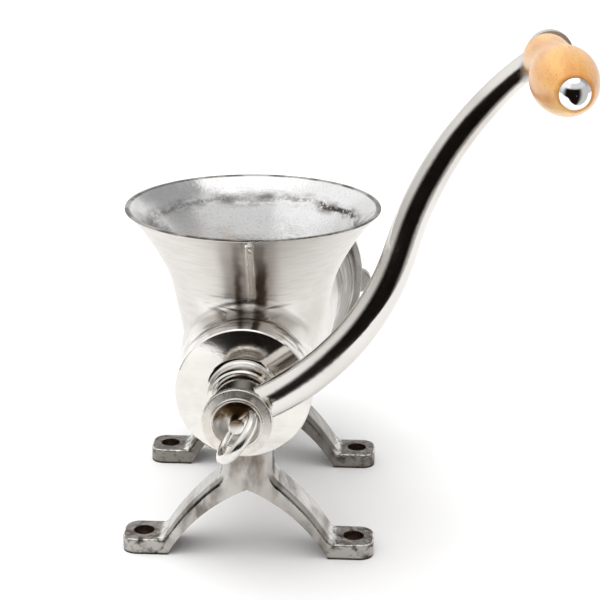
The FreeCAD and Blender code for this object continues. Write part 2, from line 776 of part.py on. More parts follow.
def wooden_grip():
    """Turned grip: a rounded rear part, a waist and a full front bulb."""
    rear_y = grip_rear_y
    front_y = rear_y - grip_length
    return on_grip_axis(turned((grip_bore_radius, rear_y), [
        ("line", (4.4, rear_y)),
        ("arc", (5.9, rear_y - 0.8), (6.9, rear_y - 2.3)),
        ("curve", (8.0, rear_y - 5.8), (8.4, rear_y - 10.8), (8.4, rear_y - 15.3),
         (8.2, rear_y - 22.0), (8.8, rear_y - 30.3), (10.1, rear_y - 38.5), (11.0, rear_y - 47.0),
         (10.5, rear_y - 54.0), (8.9, rear_y - 61.5), (6.6, front_y + 1.6)),
        ("arc", (6.0, front_y + 0.4), (5.2, front_y)),
        ("line", (grip_bore_radius, front_y))], 0.0, 0.0))


def grip_screw():
    """Long domed screw that the grip turns on."""
    shoulder_y = -seat_clearance
    head_y = grip_rear_y - grip_length - 0.12
    tail_y = 7.0
    return on_grip_axis(turned((0.0, tail_y), [
        ("line", (grip_thread_radius - 0.4, tail_y)),
        ("line", (grip_thread_radius, tail_y - 0.4)),
        ("line", (grip_thread_radius, shoulder_y)),
        ("line", (grip_screw_radius, shoulder_y)),
        ("line", (grip_screw_radius, head_y)),
        ("line", (5.0, head_y)),
        ("line", (5.0, head_y - 0.8)),
        dome(5.0, head_y - 0.8, head_y - 3.6)], 0.0, 0.0))


def sub_parts():
    """Every sub-part by its node name."""
    return {
        "mill_body": mill_body(),
        "front_leg_frame": front_leg_frame(),
        "rear_leg_frame": rear_leg_frame(),
        "front_bush": front_bush(),
        "rear_bush": rear_bush(),
        "fixed_burr": fixed_burr(),
        "fixed_burr_screws": fixed_burr_screws(),
        "rotating_burr": rotating_burr(),
        "burr_pin": burr_pin(),
        "feed_worm": feed_worm(),
        "worm_pin": worm_pin(),
        "drive_shaft": drive_shaft(),
        "rear_cover": rear_cover(),
        "ring_nut": ring_nut(),
        "thrust_ball": thrust_ball(),
        "adjusting_screw": adjusting_screw(),
        "lock_nut": lock_nut(),
        "crank_arm": crank_arm(),
        "crank_washer": crank_washer(),
        "crank_screw": crank_screw(),
        "pull_ring": pull_ring(),
        "grip_ferrule": grip_ferrule(),
        "wooden_grip": wooden_grip(),
        "grip_screw": grip_screw(),
    }


def main():
    """Write one STEP file per sub-part."""
    os.makedirs("parts", exist_ok=True)
    for name, shape in sub_parts().items():
        if not shape.isValid():
            raise ValueError(name + " is not a valid shape")
        shape.exportStep("parts/" + name + ".step")
        print(name, len(shape.Solids), round(shape.Volume, 1))


main()
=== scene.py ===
"""Studio scene of a hand poppy seed mill: its finishes, small cast and cut details, light and camera.

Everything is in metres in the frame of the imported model: +Z is up, the crank is on the -Y side and the burr
housing on the +Y side. Sizes that are easier to read in millimetres are kept as such and multiplied by MM.
"""

import json
import logging
import math
from dataclasses import dataclass
from enum import Enum

import bpy
import numpy as np
from mathutils import Matrix, Vector


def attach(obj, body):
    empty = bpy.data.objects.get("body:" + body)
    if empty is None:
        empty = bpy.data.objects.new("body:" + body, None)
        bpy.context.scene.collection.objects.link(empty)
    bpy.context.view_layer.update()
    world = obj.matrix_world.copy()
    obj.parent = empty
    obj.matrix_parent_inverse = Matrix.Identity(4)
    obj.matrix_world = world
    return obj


LOG = logging.getLogger("poppy_seed_mill")
MM = 0.001
LEVEL = (1.0, 1.0, 0.0)
Socket = bpy.types.NodeSocket

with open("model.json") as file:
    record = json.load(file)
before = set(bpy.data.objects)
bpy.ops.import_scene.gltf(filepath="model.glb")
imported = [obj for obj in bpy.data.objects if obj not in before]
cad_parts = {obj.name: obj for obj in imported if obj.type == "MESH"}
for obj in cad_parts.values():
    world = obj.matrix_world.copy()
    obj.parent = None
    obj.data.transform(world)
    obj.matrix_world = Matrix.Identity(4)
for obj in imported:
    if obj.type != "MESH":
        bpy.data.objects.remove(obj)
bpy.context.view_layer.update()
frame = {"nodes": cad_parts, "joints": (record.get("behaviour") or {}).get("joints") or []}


def linear(hex_colour: str, strength: float = 1.0) -> tuple[float, float, float, float]:
    """Turn an sRGB colour into the linear values that shaders take, by the sRGB standard's curve.

    Args:
        hex_colour: the colour as "#RRGGBB".
        strength: brightness that the colour is multiplied by.

    Returns:
        Linear red, green, blue and an alpha of one.
    """
    shares = [int(hex_colour[place:place + 2], 16) / 255 for place in (1, 3, 5)]
    red, green, blue = [c / 12.92 if c <= 0.04045 else ((c + 0.055) / 1.055) ** 2.4 for c in shares]
    return red * strength, green * strength, blue * strength, 1.0


class Lay(Enum):
    """Way in which a tool's fine marks run over a surface."""

    NONE = "left as cast, or polished until no marks show"
    ABOUT_SHAFT = "turned on the line of the drive shaft"
    ABOUT_GRIP = "turned on the line of the grip"
    ABOUT_HOPPER = "turned on the hopper's upright axis"


class Along(Enum):
    """What a soft edge is measured along."""

    X = "X"
    Y = "Y"
    Z = "Z"
    REACH = "distance from the middle plane, to either side"
    TILT = "upward tilt of the surface: -1 underneath, 0 upright, 1 on top"


@dataclass(frozen=True)
class MillLines:
    """Axes that turned surfaces run round, in metres. The hopper has no joint to read its axis from."""

    shaft_height: float
    grip_x: float
    grip_z: float
    hopper_y: float = -20.0 * MM

    @staticmethod
    def from_frame() -> "MillLines":
        """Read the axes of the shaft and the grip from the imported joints."""
        joints = {joint["name"]: joint for joint in frame["joints"]}
        grip = joints["grip_spin"]["pos_m"]
        return MillLines(shaft_height=joints["crank_spin"]["pos_m"][2], grip_x=grip[0], grip_z=grip[2])


LINES = MillLines.from_frame()


@dataclass(frozen=True)
class Patches:
    """Irregular soft patches, cut from noise.

    Size is the width of a typical patch in millimetres. The mask is zero where the noise is below low and one
    where it is above high. Stretch is how much longer a patch is along each axis, and detail is how much
    finer noise is mixed in.
    """

    size: float
    low: float
    high: float
    stretch: tuple[float, float, float] = (1.0, 1.0, 1.0)
    detail: float = 3.0


@dataclass(frozen=True)
class Waver:
    """Slow irregular swing to both sides, by its length and its greatest swing in millimetres."""

    length: float
    swing: float
    detail: float
    roughness: float


@dataclass(frozen=True)
class Edge:
    """Soft edge of a region: the places in millimetres where its mask is zero and one. A tilt has no unit."""

    along: Along
    zero: float
    one: float


@dataclass(frozen=True)
class Stain:
    """Colour that lies over a surface, in patches or evenly, within the edges of a region."""

    colour: str
    patches: Patches | None = None
    edges: tuple[Edge, ...] = ()


@dataclass(frozen=True)
class Canvas:
    """A node tree in the making, and the coordinates in metres that its patterns lie in."""

    tree: bpy.types.NodeTree
    where: Socket | None = None

    def node(self, kind: str, settings: dict | None = None, links: dict | None = None,
             out: str | int = 0) -> Socket | None:
        """Add one node with its settings and links.

        Args:
            kind: Blender's name for the type of node, without ShaderNode in front.
            settings: values by property name, or by the name or number of an input.
            links: output sockets by the name or number of the input that each one feeds.
            out: name or number of the output that is wanted.

        Returns:
            That output, or nothing from a node that ends the tree.
        """
        node = self.tree.nodes.new("ShaderNode" + kind)
        for key, value in (settings or {}).items():
            if isinstance(key, str) and hasattr(node, key):
                setattr(node, key, value)
            else:
                node.inputs[key].default_value = value
        for key, source in (links or {}).items():
            self.tree.links.new(source, node.inputs[key])
        return node.outputs[out] if node.outputs else None

    def plain(self, hex_colour: str, strength: float = 1.0) -> Socket:
        """One even colour, as a base that stains lie over."""
        base = self.node("RGB")
        base.default_value = linear(hex_colour, strength)
        return base

    def between(self, value: Socket, zero: float, one: float) -> Socket:
        """Smooth mask that is zero at one value and one at another, whichever is larger."""
        ends = {"interpolation_type": "SMOOTHSTEP", "From Min": zero, "From Max": one}
        return self.node("MapRange", ends, {"Value": value})

    def spread(self, mask: Socket, low: float, high: float) -> Socket:
        """Value that goes from low to high as a mask goes from zero to one."""
        return self.node("MapRange", {"To Min": low, "To Max": high}, {"Value": mask})

    def product(self, *masks: Socket) -> Socket:
        """Mask that is one only where every given mask is one."""
        result = masks[0]
        for mask in masks[1:]:
            result = self.node("Math", {"operation": "MULTIPLY"}, {0: result, 1: mask})
        return result

    def either(self, one: Socket, other: Socket) -> Socket:
        """Mask that is one where at least one of two masks is one."""
        return self.node("Math", {"operation": "MAXIMUM"}, {0: one, 1: other})

    def distance(self, value: Socket, middle: float = 0.0) -> Socket:
        """How far a value is from a middle, on either side."""
        off = self.node("Math", {"operation": "SUBTRACT", 1: middle}, {0: value})
        return self.node("Math", {"operation": "ABSOLUTE"}, {0: off})

    def along(self, axis: Along) -> Socket:
        """Coordinate that soft edges are measured along.

        Args:
            axis: which one.

        Returns:
            The coordinate in metres, or a tilt without a unit.
        """
        if axis is Along.TILT:
            normal = self.node("TexCoord", out="Normal")
            return self.node("SeparateXYZ", {}, {0: normal}, out="Z")
        if axis is Along.REACH:
            return self.distance(self.along(Along.X))
        return self.node("SeparateXYZ", {}, {0: self.where}, out=axis.value)

    def region(self, *edges: Edge) -> Socket:
        """Mask of a soft-edged region.

        Args:
            edges: the edges that bound it.

        Returns:
            Mask from zero to one.
        """
        masks = []
        for edge in edges:
            unit = 1.0 if edge.along is Along.TILT else MM
            masks.append(self.between(self.along(edge.along), edge.zero * unit, edge.one * unit))
        return self.product(*masks)

    def patches(self, kind: Patches) -> Socket:
        """Mask of irregular soft patches.

        Args:
            kind: their size, levels, stretch and detail.

        Returns:
            Mask from zero to one.
        """
        scale = tuple(1.0 / share for share in kind.stretch)
        stretched = self.node("Mapping", {"Scale": scale}, {"Vector": self.where})
        settings = {"Scale": 1.0 / (kind.size * MM), "Detail": kind.detail}
        noise = self.node("TexNoise", settings, {"Vector": stretched}, out="Fac")
        return self.between(noise, kind.low, kind.high)

    def waver(self, kind: Waver) -> Socket:
        """Value in metres that swings to both sides of zero from place to place.

        Args:
            kind: length, swing and fineness of the swinging.

        Returns:
            The swing.
        """
        settings = {"Scale": 1.0 / (kind.length * MM), "Detail": kind.detail, "Roughness": kind.roughness}
        noise = self.node("TexNoise", settings, {"Vector": self.where}, out="Fac")
        return self.spread(noise, -kind.swing * MM, kind.swing * MM)

    def stained(self, under: Socket, stain: Stain, *masks: Socket) -> Socket:
        """Colour with a stain over it.

        Args:
            under: colour of the surface so far.
            stain: what lies over it.
            masks: further limits of the stain.

        Returns:
            The new colour.
        """
        limits = list(masks)
        if stain.patches:
            limits.append(self.patches(stain.patches))
        if stain.edges:
            limits.append(self.region(*stain.edges))
        paint = {"data_type": "RGBA", 7: linear(stain.colour)}
        return self.node("Mix", paint, {0: self.product(*limits), 6: under}, out=2)

    def layered(self, under: Socket, *layers: tuple) -> Socket:
        """Colour with stains laid over it in order, each given as a tuple of the stain and its masks."""
        for stain, *masks in layers:
            under = self.stained(under, stain, *masks)
        return under

    def blended(self, under: Socket, over: Socket | float, mask: Socket) -> Socket:
        """Value that goes from one to another as the mask goes from zero to one."""
        if isinstance(over, Socket):
            return self.node("Mix", {"data_type": "FLOAT"}, {0: mask, 2: under, 3: over})
        return self.node("Mix", {"data_type": "FLOAT", 3: over}, {0: mask, 2: under})

    def raised(self, mask: Socket, height: float, under: Socket | None = None) -> Socket:
        """Normal of a surface that stands up by a height in millimetres where the mask is one."""
        fed = {"Height": mask} if under is None else {"Height": mask, "Normal": under}
        return self.node("Bump", {"Strength": 1.0, "Distance": height * MM}, fed)

    def from_axis(self, where: Socket, centre: tuple, across: tuple) -> Socket:
        """Vector from an axis through a centre. Across is zero along the axis and one square to it."""
        moved = self.node("VectorMath", {"operation": "SUBTRACT", 1: centre}, {0: where})
        return self.node("VectorMath", {"operation": "MULTIPLY", 1: across}, {0: moved})

    def turned(self, lay: Lay) -> "Canvas":
        """The same tree, in coordinates in which a turned surface's marks are plain stripes.

        Args:
            lay: which axis the surface was turned on.

        Returns:
            Canvas whose X is the distance from the axis and whose Y is the place along it.
        """
        if lay is Lay.NONE:
            return self
        centre, flat = {
            Lay.ABOUT_SHAFT: ((0.0, 0.0, LINES.shaft_height), (1.0, 0.0, 1.0)),
            Lay.ABOUT_GRIP: ((LINES.grip_x, 0.0, LINES.grip_z), (1.0, 0.0, 1.0)),
            Lay.ABOUT_HOPPER: ((0.0, LINES.hopper_y, 0.0), LEVEL),
        }[lay]
        upright = tuple(1.0 - share for share in flat)
        off = self.from_axis(self.where, centre, flat)
        radius = self.node("VectorMath", {"operation": "LENGTH"}, {0: off}, out="Value")
        along = {"operation": "DOT_PRODUCT", 1: upright}
        place = self.node("VectorMath", along, {0: self.where}, out="Value")
        pair = self.node("CombineXYZ", {}, {"X": radius, "Y": place})
        return Canvas(self.tree, pair)


@dataclass(frozen=True)
class Finish:
    """A named surface. Its subclasses give the settings and the patterns of its shader."""

    name: str
    colour: str

    def build(self) -> bpy.types.Material:
        """Make the material, with its patterns in the piece's own coordinates.

        Returns:
            The finished material.
        """
        material = bpy.data.materials.new(self.name)
        material.use_nodes = True
        tree = material.node_tree
        tree.nodes.clear()
        canvas = Canvas(tree, Canvas(tree).node("TexCoord", out="Object"))
        shader = canvas.node("BsdfPrincipled", self.settings(), self.patterns(canvas))
        canvas.node("OutputMaterial", {}, {"Surface": shader})
        return material

    def settings(self) -> dict[str, float]:
        """Even values of the shader, by input."""
        raise NotImplementedError

    def patterns(self, canvas: Canvas) -> dict[str, Socket]:
        """What feeds the shader's other inputs."""
        raise NotImplementedError


@dataclass(frozen=True)
class MetalFinish(Finish):
    """A metal surface with hand-made unevenness, fine grain, tool marks, stains and pits.

    Colours are sRGB and sizes are millimetres. Waves, grain and marks are given by the width and the height
    of their humps. A metal keeps the default IOR.
    """

    stain: Stain
    roughness: tuple[float, float]
    rough_size: float
    wave: tuple[float, float]
    grain: tuple[float, float]
    lay: Lay = Lay.NONE
    marks: tuple[float, float] = (0.5, 0.0015)
    pits: Stain = Stain("#3A322B", Patches(1.0, 0.80, 0.84, detail=1.0))
    pit_roughness: float = 0.5

    def settings(self) -> dict[str, float]:
        """All metal."""
        return {"Metallic": 1.0}

    def patterns(self, canvas: Canvas) -> dict[str, Socket]:
        """Colour, roughness and relief, which a kind of metal may change."""
        return {"Base Color": self.tint(canvas), "Roughness": self.gloss(canvas),
                "Normal": self.relief(canvas)}

    def tint(self, canvas: Canvas) -> Socket:
        """Colour: the metal with soft stains and darker pits."""
        return canvas.layered(canvas.plain(self.colour), (self.stain,), (self.pits,))

    def gloss(self, canvas: Canvas) -> Socket:
        """Roughness: hand polishing leaves it uneven."""
        dull = canvas.patches(Patches(self.rough_size, 0.3, 0.7))
        return canvas.blended(canvas.spread(dull, *self.roughness), self.pit_roughness,
                              canvas.patches(self.pits.patches))

    def relief(self, canvas: Canvas) -> Socket:
        """Normal: slow waves of the casting, fine grain and the tool's marks."""
        size, height = self.wave
        normal = canvas.raised(canvas.patches(Patches(size, 0.0, 1.0, detail=1.0)), height)
        size, height = self.grain
        normal = canvas.raised(canvas.patches(Patches(size, 0.0, 1.0)), height, normal)
        if self.lay is Lay.NONE:
            return normal
        pitch, height = self.marks
        return canvas.raised(canvas.turned(self.lay).patches(Patches(pitch, 0.2, 0.8)), height, normal)


@dataclass(frozen=True)
class TarnishAndShadeBand:
    """Upright band of brown tarnish and painted shade beside the parting seam, in millimetres from the middle
    plane.
    """

    middle: float
    full_half_width: float
    edge_half_width: float
    fade: Edge


@dataclass(frozen=True)
class TinnedBody(MetalFinish):
    """Hot-tinned cast iron, polished by hand outside and roughly scraped inside the hopper.

    Inside, a dark wavering line runs round where the scraper changed its angle, the lip is painted a darker
    grey as a painted dark reflection, and the burr housing at the rear is greasier and duller than the rest.
    """

    # Regions.
    bowl: Edge = Edge(Along.Z, 88.0, 92.0)
    inward_reach: tuple[float, float] = (2.0, -2.0)
    skin_slope: tuple[float, float, float] = (0.0, 1.0, 0.9)
    skin_start: tuple[float, float] = (27.0, 32.0)
    lip: Edge = Edge(Along.Z, 140.8, 141.3)
    housing: Edge = Edge(Along.Y, 46.0, 55.0)
    faced_end: Edge = Edge(Along.Y, -73.6, -74.6)
    # Outside: wiped tin, a rubbed mirror on the front face, and a painted highlight that lightens the neck.
    wiped: Stain = Stain("#CAC6C0", Patches(2.0, 0.35, 0.75, (5.0, 5.0, 0.6), 5.0))
    rubbed_face: Stain = Stain("#DEDBD6", Patches(11.0, 0.30, 0.66, detail=6.0))
    # Painted highlight: the neck is lighter to stand in for a brighter reflection there.
    neck_highlight: Stain = Stain("#E9E6E2", edges=(Edge(Along.Z, 112.0, 106.0), Edge(Along.Z, 92.0, 99.0),
                                          Edge(Along.Y, -44.0, -50.0)))
    # Brown tarnish with painted shade beside the seam, and a painted highlight on the seam's crest.
    tarnish_and_shade: Stain = Stain("#5F5348", edges=(Edge(Along.Z, 140.4, 137.0), Edge(Along.Z, 106.0, 110.0)))
    tarnish_and_shade_waver: Waver = Waver(9.0, 2.2, 6.0, 0.62)
    tarnish_and_shade_bands: tuple[TarnishAndShadeBand, ...] = (TarnishAndShadeBand(-3.1, 0.2, 2.9, Edge(Along.Z, 138.0, 116.0)),
                                              TarnishAndShadeBand(5.6, 0.9, 3.6, Edge(Along.Z, 142.0, 120.0)))
    faded_share: float = 0.42
    # Painted highlight along the seam's crest.
    crest: Stain = Stain("#F0EBE4", edges=(Edge(Along.Z, 106.0, 112.0),))
    seam_middle: float = 1.5
    crest_half_widths: tuple[float, float] = (2.0, 1.2)
    # Brown streaks of painted reflection where the hopper runs into the barrel, and round the barrel's front
    # crown.
    streaks: Stain = Stain("#6A5B4E")
    corner: tuple[Edge, ...] = (Edge(Along.Z, 104.5, 106.5), Edge(Along.Z, 115.0, 110.0),
                                Edge(Along.REACH, 20.0, 8.0))
    corner_reflection_streaks: Patches = Patches(4.0, 0.44, 0.60, (4.0, 4.0, 0.35), 5.0)
    crown: tuple[Edge, ...] = (Edge(Along.Y, -72.5, -70.0), Edge(Along.Y, -57.0, -64.0),
                               Edge(Along.Z, 91.0, 97.0), Edge(Along.Z, 110.0, 107.0))
    crown_reflection_streaks: Patches = Patches(3.6, 0.42, 0.62, (4.0, 0.7, 2.0), 5.0)
    # Inside: grey scraped tin with its dark line, which is deepest on one side.
    scraped_tin: Stain = Stain("#E2E2E2")
    speckle: Stain = Stain("#D6D4D3", Patches(0.9, 0.52, 0.70, detail=2.0))
    line_height: float = 133.3
    line_width: float = 1.5
    line_waver: Waver = Waver(26.0, 4.25, 7.0, 0.55)
    line_halo: Stain = Stain("#8D8884", Patches(7.0, 0.38, 0.72, (1.0, 1.0, 0.6), 6.0))
    line_halo_widths: float = 2.4
    line_core: Stain = Stain("#423D39", Patches(1.3, 0.34, 0.52, detail=5.0))
    line_core_widths: float = 0.9
    line_gaps: Patches = Patches(16.0, 0.36, 0.52)
    line_deep_side: tuple[float, float] = (14.0, 22.0)
    line_shallow_share: float = 0.42
    line_groove_widths: float = 1.3
    line_groove_depth: float = 0.07
    # Lip painted darker grey in patches as a painted dark reflection, and a dull and greasy housing with
    # turned rings of dirt.
    lip_reflection_grey: Stain = Stain("#A5A19C")
    lip_reflection_patches: Stain = Stain("#56514C", Patches(9.0, 0.40, 0.60, detail=5.0))
    grease: Stain = Stain("#87827C", Patches(7.0, 0.20, 0.52, (1.0, 1.0, 3.0)))
    dirt: Stain = Stain("#5C5650", Patches(9.0, 0.30, 0.55))
    dirt_rings: Patches = Patches(2.6, 0.48, 0.62)
    housing_roughness: float = 0.30
    face_roughness: float = 0.085
    hopper_roughness: float = 0.33
    scraped_roughness: tuple[float, float] = (0.13, 0.25)
    scraped_gloss: Patches = Patches(6.0, 0.3, 0.7, (1.0, 1.0, 0.5))
    scraped_humps: tuple[tuple[Lay, Patches, float], ...] = (
        (Lay.ABOUT_HOPPER, Patches(0.9, 0.2, 0.8, detail=4.0), 0.012),
        (Lay.NONE, Patches(1.1, 0.15, 0.85, (1.5, 1.5, 1.0), 4.0), 0.032),
        (Lay.NONE, Patches(15.0, 0.1, 0.9, detail=1.0), 0.35),
    )

    def inside(self, canvas: Canvas) -> Socket:
        """Mask of the hopper's inner wall: high up, with the surface facing the hopper's axis."""
        outward = canvas.from_axis(canvas.where, (0.0, LINES.hopper_y, 0.0), LEVEL)
        normal = canvas.node("TexCoord", out="Normal")
        facing = canvas.node("VectorMath", {"operation": "DOT_PRODUCT"}, {0: outward, 1: normal}, out="Value")
        away, towards = self.inward_reach
        inward = canvas.between(facing, away * MM, towards * MM)
        return canvas.product(inward, canvas.region(self.bowl))

    def hopper_skin(self, canvas: Canvas) -> Socket:
        """Mask of the hopper's outside: above a sloping plane that leaves out the barrel's front face."""
        along = {"operation": "DOT_PRODUCT", 1: self.skin_slope}
        slope = canvas.node("VectorMath", along, {0: canvas.where}, out="Value")
        low, high = self.skin_start
        above = canvas.between(slope, low * MM, high * MM)
        return canvas.product(above, canvas.between(self.inside(canvas), 1.0, 0.0))

    def scraper_line(self, canvas: Canvas, widths: float) -> Socket:
        """Mask of the wavering line round the inside.

        Args:
            canvas: nodes of the material.
            widths: how many times as wide as line_width the mask is.

        Returns:
            Mask from zero to one.
        """
        level = canvas.node("Math", {"operation": "SUBTRACT"},
                            {0: canvas.along(Along.Z), 1: canvas.waver(self.line_waver)})
        edge = widths * self.line_width * MM
        return canvas.between(canvas.distance(level, self.line_height * MM), edge, 0.25 * edge)

    def beside_seam(self, canvas: Canvas) -> Socket:
        """Mask of the ragged bands of tarnish and painted shade on both sides of the parting seam.

        Args:
            canvas: nodes of the material.

        Returns:
            Mask from zero to one.
        """
        side = canvas.node("Math", {"operation": "ADD"},
                           {0: canvas.along(Along.X), 1: canvas.waver(self.tarnish_and_shade_waver)})
        masks = []
        for band in self.tarnish_and_shade_bands:
            away = canvas.distance(side, band.middle * MM)
            near = canvas.between(away, band.edge_half_width * MM, band.full_half_width * MM)
            masks.append(canvas.product(near, canvas.spread(canvas.region(band.fade), self.faded_share, 1.0)))
        return canvas.either(*masks)

    def on_crest(self, canvas: Canvas) -> Socket:
        """Mask of the seam's crest, where a painted highlight lies."""
        edge, full = self.crest_half_widths
        away = canvas.distance(canvas.along(Along.X), self.seam_middle * MM)
        return canvas.between(away, edge * MM, full * MM)

    def tint(self, canvas: Canvas) -> Socket:
        """Colour: brown tarnish with painted shade, painted highlights and painted reflections outside,
        greyer inside with its dark line, a lip darkened by painted reflection and a dull housing.
        """
        inside = self.inside(canvas)
        skin = self.hopper_skin(canvas)
        lip = canvas.region(self.lip)
        housing = canvas.region(self.housing)
        corner = canvas.product(canvas.region(*self.corner), canvas.patches(self.corner_reflection_streaks), skin)
        crown = canvas.product(canvas.region(*self.crown), canvas.patches(self.crown_reflection_streaks))
        start, end = self.line_deep_side
        ramp = {"From Min": start * MM, "From Max": end * MM, "To Min": self.line_shallow_share}
        deeper = canvas.node("MapRange", ramp, {"Value": canvas.along(Along.X)})
        broken = canvas.product(deeper, canvas.patches(self.line_gaps))
        return canvas.layered(
            super().tint(canvas),
            (self.wiped,),
            (self.rubbed_face, canvas.region(self.faced_end)),
            # painted highlight on the neck
            (self.neck_highlight,),
            # tarnish and painted shade beside the seam
            (self.tarnish_and_shade, self.beside_seam(canvas), skin),
            # painted highlight on the seam's crest
            (self.crest, self.on_crest(canvas), skin),
            # painted reflection: brown streaks at the hopper's foot and round the barrel's crown
            (self.streaks, canvas.either(corner, crown)),
            (self.scraped_tin, inside),
            (self.speckle, inside),
            (self.line_halo, self.scraper_line(canvas, self.line_halo_widths), inside),
            (self.line_core, self.scraper_line(canvas, self.line_core_widths), inside, broken),
            # painted dark reflection on the lip
            (self.lip_reflection_grey, lip),
            (self.lip_reflection_patches, lip),
            (self.grease, housing),
            (self.dirt, housing, canvas.turned(Lay.ABOUT_SHAFT).patches(self.dirt_rings)),
        )

    def gloss(self, canvas: Canvas) -> Socket:
        """Roughness: a mirror on the front face, a satin hopper, a duller housing and scraped inside."""
        outside = canvas.blended(super().gloss(canvas), self.housing_roughness, canvas.region(self.housing))
        outside = canvas.blended(outside, self.face_roughness, canvas.region(self.faced_end))
        outside = canvas.blended(outside, self.hopper_roughness, self.hopper_skin(canvas))
        scraped = canvas.spread(canvas.patches(self.scraped_gloss), *self.scraped_roughness)
        return canvas.blended(outside, scraped, self.inside(canvas))

    def relief(self, canvas: Canvas) -> Socket:
        """Normal: marks, grain and facets inside the hopper, and the groove of the scraper's line."""
        inside = self.inside(canvas)
        normal = super().relief(canvas)
        for lay, humps, height in self.scraped_humps:
            normal = canvas.raised(canvas.product(canvas.turned(lay).patches(humps), inside), height, normal)
        groove = canvas.product(self.scraper_line(canvas, self.line_groove_widths), inside)
        return canvas.raised(groove, -self.line_groove_depth, normal)


@dataclass(frozen=True)
class TinnedLegs(MetalFinish):
    """Tinned cast iron legs: worn bright on the legs, raw and dark on the pads and rusty in the holes."""

    # Regions: drilled pads, their level top faces, and the bolt holes by their place and radii.
    pads: tuple[Edge, ...] = (Edge(Along.REACH, 30.5, 35.5), Edge(Along.Z, 10.9, 8.4))
    top_face: Edge = Edge(Along.TILT, 0.90, 0.98)
    hole_place: tuple[float, float, float] = (44.0 * MM, 47.0 * MM, 0.0)
    hole_radii: tuple[float, float] = (4.7, 4.3)
    # Legs: faint brown streaks, painted shade on faces that look down, and darker patches higher up at the
    # root and low down at the ankle.
    streaks: Stain = Stain("#6A635B", Patches(7.0, 0.44, 0.78, (0.8, 2.5, 2.0), 7.0))
    # Painted shade: darker where the surface faces down.
    underside_painted_shade: Stain = Stain("#3E3833", edges=(Edge(Along.TILT, -0.15, -0.55),))
    # Darker patches towards the top of the legs, and darker again towards the pads.
    root: Stain = Stain("#6C6258", Patches(8.0, 0.42, 0.66, (0.8, 1.0, 1.7), 5.0),
                        (Edge(Along.Z, 27.0, 48.0),))
    ankle: Stain = Stain("#5A534B", Patches(7.0, 0.36, 0.86, (0.8, 2.0, 1.6), 7.0),
                         (Edge(Along.Z, 24.0, 9.0),))
    # Pads: cast skin with dark scale, worn bright along its edges with a painted highlight there too, painted
    # shade along the bottom edge, and rust in the holes.
    pad: Stain = Stain("#B2AEA9")
    pad_top: Stain = Stain("#8D8883")
    scale: Stain = Stain("#544D47", Patches(4.0, 0.46, 0.66, detail=6.0))
    # Partly wear and partly painted highlight along the pads' rounded edges.
    worn_and_highlit_edges: Stain = Stain("#E4E2DE", Patches(2.2, 0.36, 0.56, detail=4.0),
                              (Edge(Along.TILT, 0.15, 0.45), Edge(Along.TILT, 0.97, 0.85)))
    # Painted shade: a dark band along the pads' bottom edge, where they stand on the paper.
    sole_contact_shade: Stain = Stain("#37322E", edges=(Edge(Along.Z, 1.3, 0.4),))
    rust: Stain = Stain("#5D4C3F")
    rust_roughness: float = 0.5
    pad_roughness: tuple[float, float] = (0.16, 0.36)
    pad_gloss: Patches = Patches(4.0, 0.3, 0.7)
    sand_lumps: Patches = Patches(3.4, 0.2, 0.8)
    sand_lump_height: float = 0.35

    def holes(self, canvas: Canvas) -> Socket:
        """Mask of the bolt holes' walls."""
        folded = canvas.node("VectorMath", {"operation": "ABSOLUTE"}, {0: canvas.where})
        off = canvas.from_axis(folded, self.hole_place, LEVEL)
        away = canvas.node("VectorMath", {"operation": "LENGTH"}, {0: off}, out="Value")
        edge, wall = self.hole_radii
        return canvas.between(away, edge * MM, wall * MM)

    def tint(self, canvas: Canvas) -> Socket:
        """Colour: dark scale on the pads, rust in the holes, faint brown streaks on the legs."""
        pads = canvas.region(*self.pads)
        return canvas.layered(
            super().tint(canvas),
            (self.streaks,),
            # painted shade under the legs
            (self.underside_painted_shade,),
            (self.root,),
            (self.ankle,),
            (self.pad, pads),
            (self.pad_top, pads, canvas.region(self.top_face)),
            (self.scale, pads),
            (self.worn_and_highlit_edges, pads),
            # painted shade where the pads meet the paper
            (self.sole_contact_shade,),
            (self.rust, self.holes(canvas)),
        )

    def gloss(self, canvas: Canvas) -> Socket:
        """Roughness: the pads were left nearly as cast."""
        cast = canvas.spread(canvas.patches(self.pad_gloss), *self.pad_roughness)
        legs = canvas.blended(super().gloss(canvas), cast, canvas.region(*self.pads))
        return canvas.blended(legs, self.rust_roughness, self.holes(canvas))

    def relief(self, canvas: Canvas) -> Socket:
        """Normal: sand-cast lumps on the pads."""
        lumps = canvas.product(canvas.region(*self.pads), canvas.patches(self.sand_lumps))
        return canvas.raised(lumps, self.sand_lump_height, super().relief(canvas))


@dataclass(frozen=True)
class CrankTin(MetalFinish):
    """Polished and tinned steel of the crank arm, whose eye was only faced on the lathe and stays satin."""

    eye: tuple[Edge, ...] = (Edge(Along.X, 98.0, 101.0), Edge(Along.Z, 208.0, 211.0))
    eye_roughness: float = 0.55

    def gloss(self, canvas: Canvas) -> Socket:
        """Roughness: polished arm, satin eye."""
        return canvas.blended(super().gloss(canvas), self.eye_roughness, canvas.region(*self.eye))


